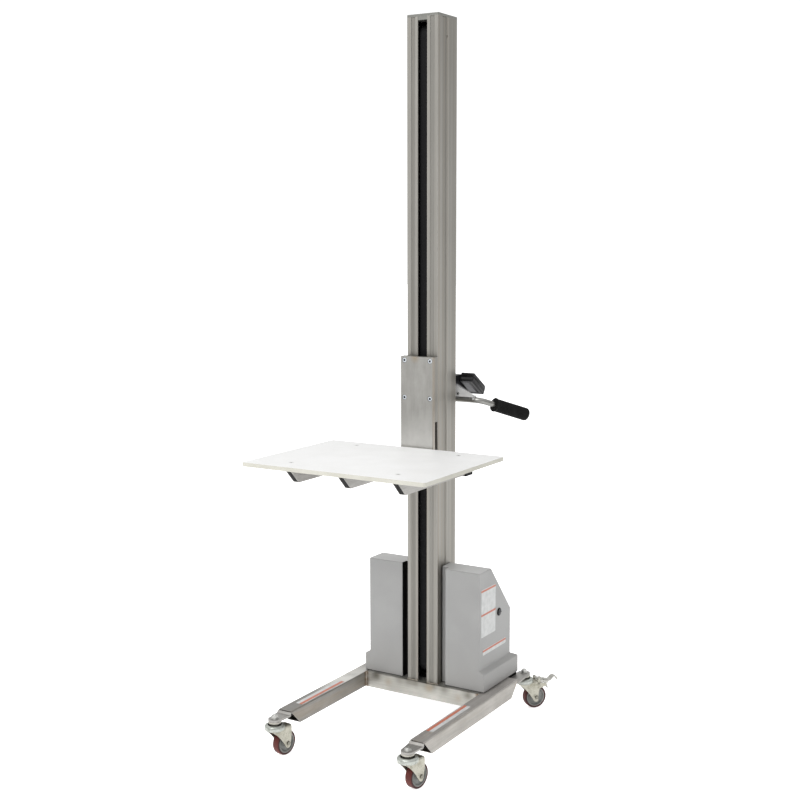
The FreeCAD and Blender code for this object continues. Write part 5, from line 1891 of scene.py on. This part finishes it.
stageSizes = {
    "floor": 60.0,
    "floorPale": (0.88, 0.88, 0.88),
    "floorPaler": (0.90, 0.90, 0.90),
    "floorGlow": 0.48,
    "seenGlow": 1.55,
    "keySize": 3.0,
    "keyPower": 150.0,
    "keyPlace": (-0.6, -4.2, 5.4),
    "keyAim": (0.0, 0.0, 0.9),
    "skyRise": (0.0, 0.8),
    "skyGlow": (0.84, 1.35),
    "wallReach": (-0.2, 0.9),
    "wallDim": (1.0, 0.78),
    "backdrop": 1.1,
}
white = (1.0, 1.0, 1.0)


def layFloor(s):
    bpy.ops.object.select_all(action="DESELECT")
    bpy.ops.mesh.primitive_plane_add(size=s["floor"])
    floor = settle(bpy.context.active_object, "paleGround")
    pale = Finish("paleGround", {"Metallic": 0.0, "Emission Strength": s["floorGlow"]})
    mottle = pale.noise(2.0, 3.0, 0.5)
    seen = pale.add("LightPath", pick="Is Camera Ray")  # the ground looks paler than it lights
    pale.link(pale.mixed(mottle.ramped(0.3, 0.7), s["floorPale"], s["floorPaler"]), "Base Color")
    pale.link(0.8 + mottle * 0.1, "Roughness")
    pale.link(pale.mixed(seen, white, dimmed(white, s["seenGlow"])), "Emission Color")
    dress(floor, pale.material)


def lightStudio(s):
    world = bpy.data.worlds.new("studio")
    bpy.context.scene.world = world
    world.use_nodes = True
    tree = world.node_tree
    tree.nodes.clear()

    def add(kind, **presets):
        node = tree.nodes.new("ShaderNode" + kind)
        for key, value in presets.items():
            node.inputs[key].default_value = value
        return node

    def addRange(source, taken, given):
        node = add("MapRange")
        for key, value in zip(("From Min", "From Max", "To Min", "To Max"), taken + given):
            node.inputs[key].default_value = value
        tree.links.new(source, node.inputs["Value"])
        return node.outputs["Result"]

    place = add("TexCoord")
    split = add("SeparateXYZ")
    tree.links.new(place.outputs["Generated"], split.inputs["Vector"])
    product = add("Math")
    product.operation = "MULTIPLY"
    rise = addRange(split.outputs["Z"], s["skyRise"], s["skyGlow"])
    side = addRange(split.outputs["X"], s["wallReach"], s["wallDim"])  # dimmer towards the right wall
    glow = add("Background")
    plain = add("Background", Color=(*white, 1.0), Strength=s["backdrop"])
    path = add("LightPath")
    mix = add("MixShader")
    output = add("OutputWorld")
    for source, target in (
            (rise, product.inputs[0]), (side, product.inputs[1]),
            (product.outputs["Value"], glow.inputs["Strength"]),
            (path.outputs["Is Camera Ray"], mix.inputs["Fac"]),
            (glow.outputs["Background"], mix.inputs[1]), (plain.outputs["Background"], mix.inputs[2]),
            (mix.outputs["Shader"], output.inputs["Surface"])):
        tree.links.new(source, target)
    key = bpy.data.lights.new("softKey", "AREA")
    key.energy = s["keyPower"]
    key.size = s["keySize"]
    lamp = bpy.data.objects.new("softKey", key)
    lamp.matrix_world = facing(s["keyPlace"], Vector(s["keyPlace"]) - Vector(s["keyAim"]))
    bpy.context.scene.collection.objects.link(lamp)


layFloor(stageSizes)
lightStudio(stageSizes)
bpy.context.scene.view_settings.view_transform = "Standard"
print("stage lit")
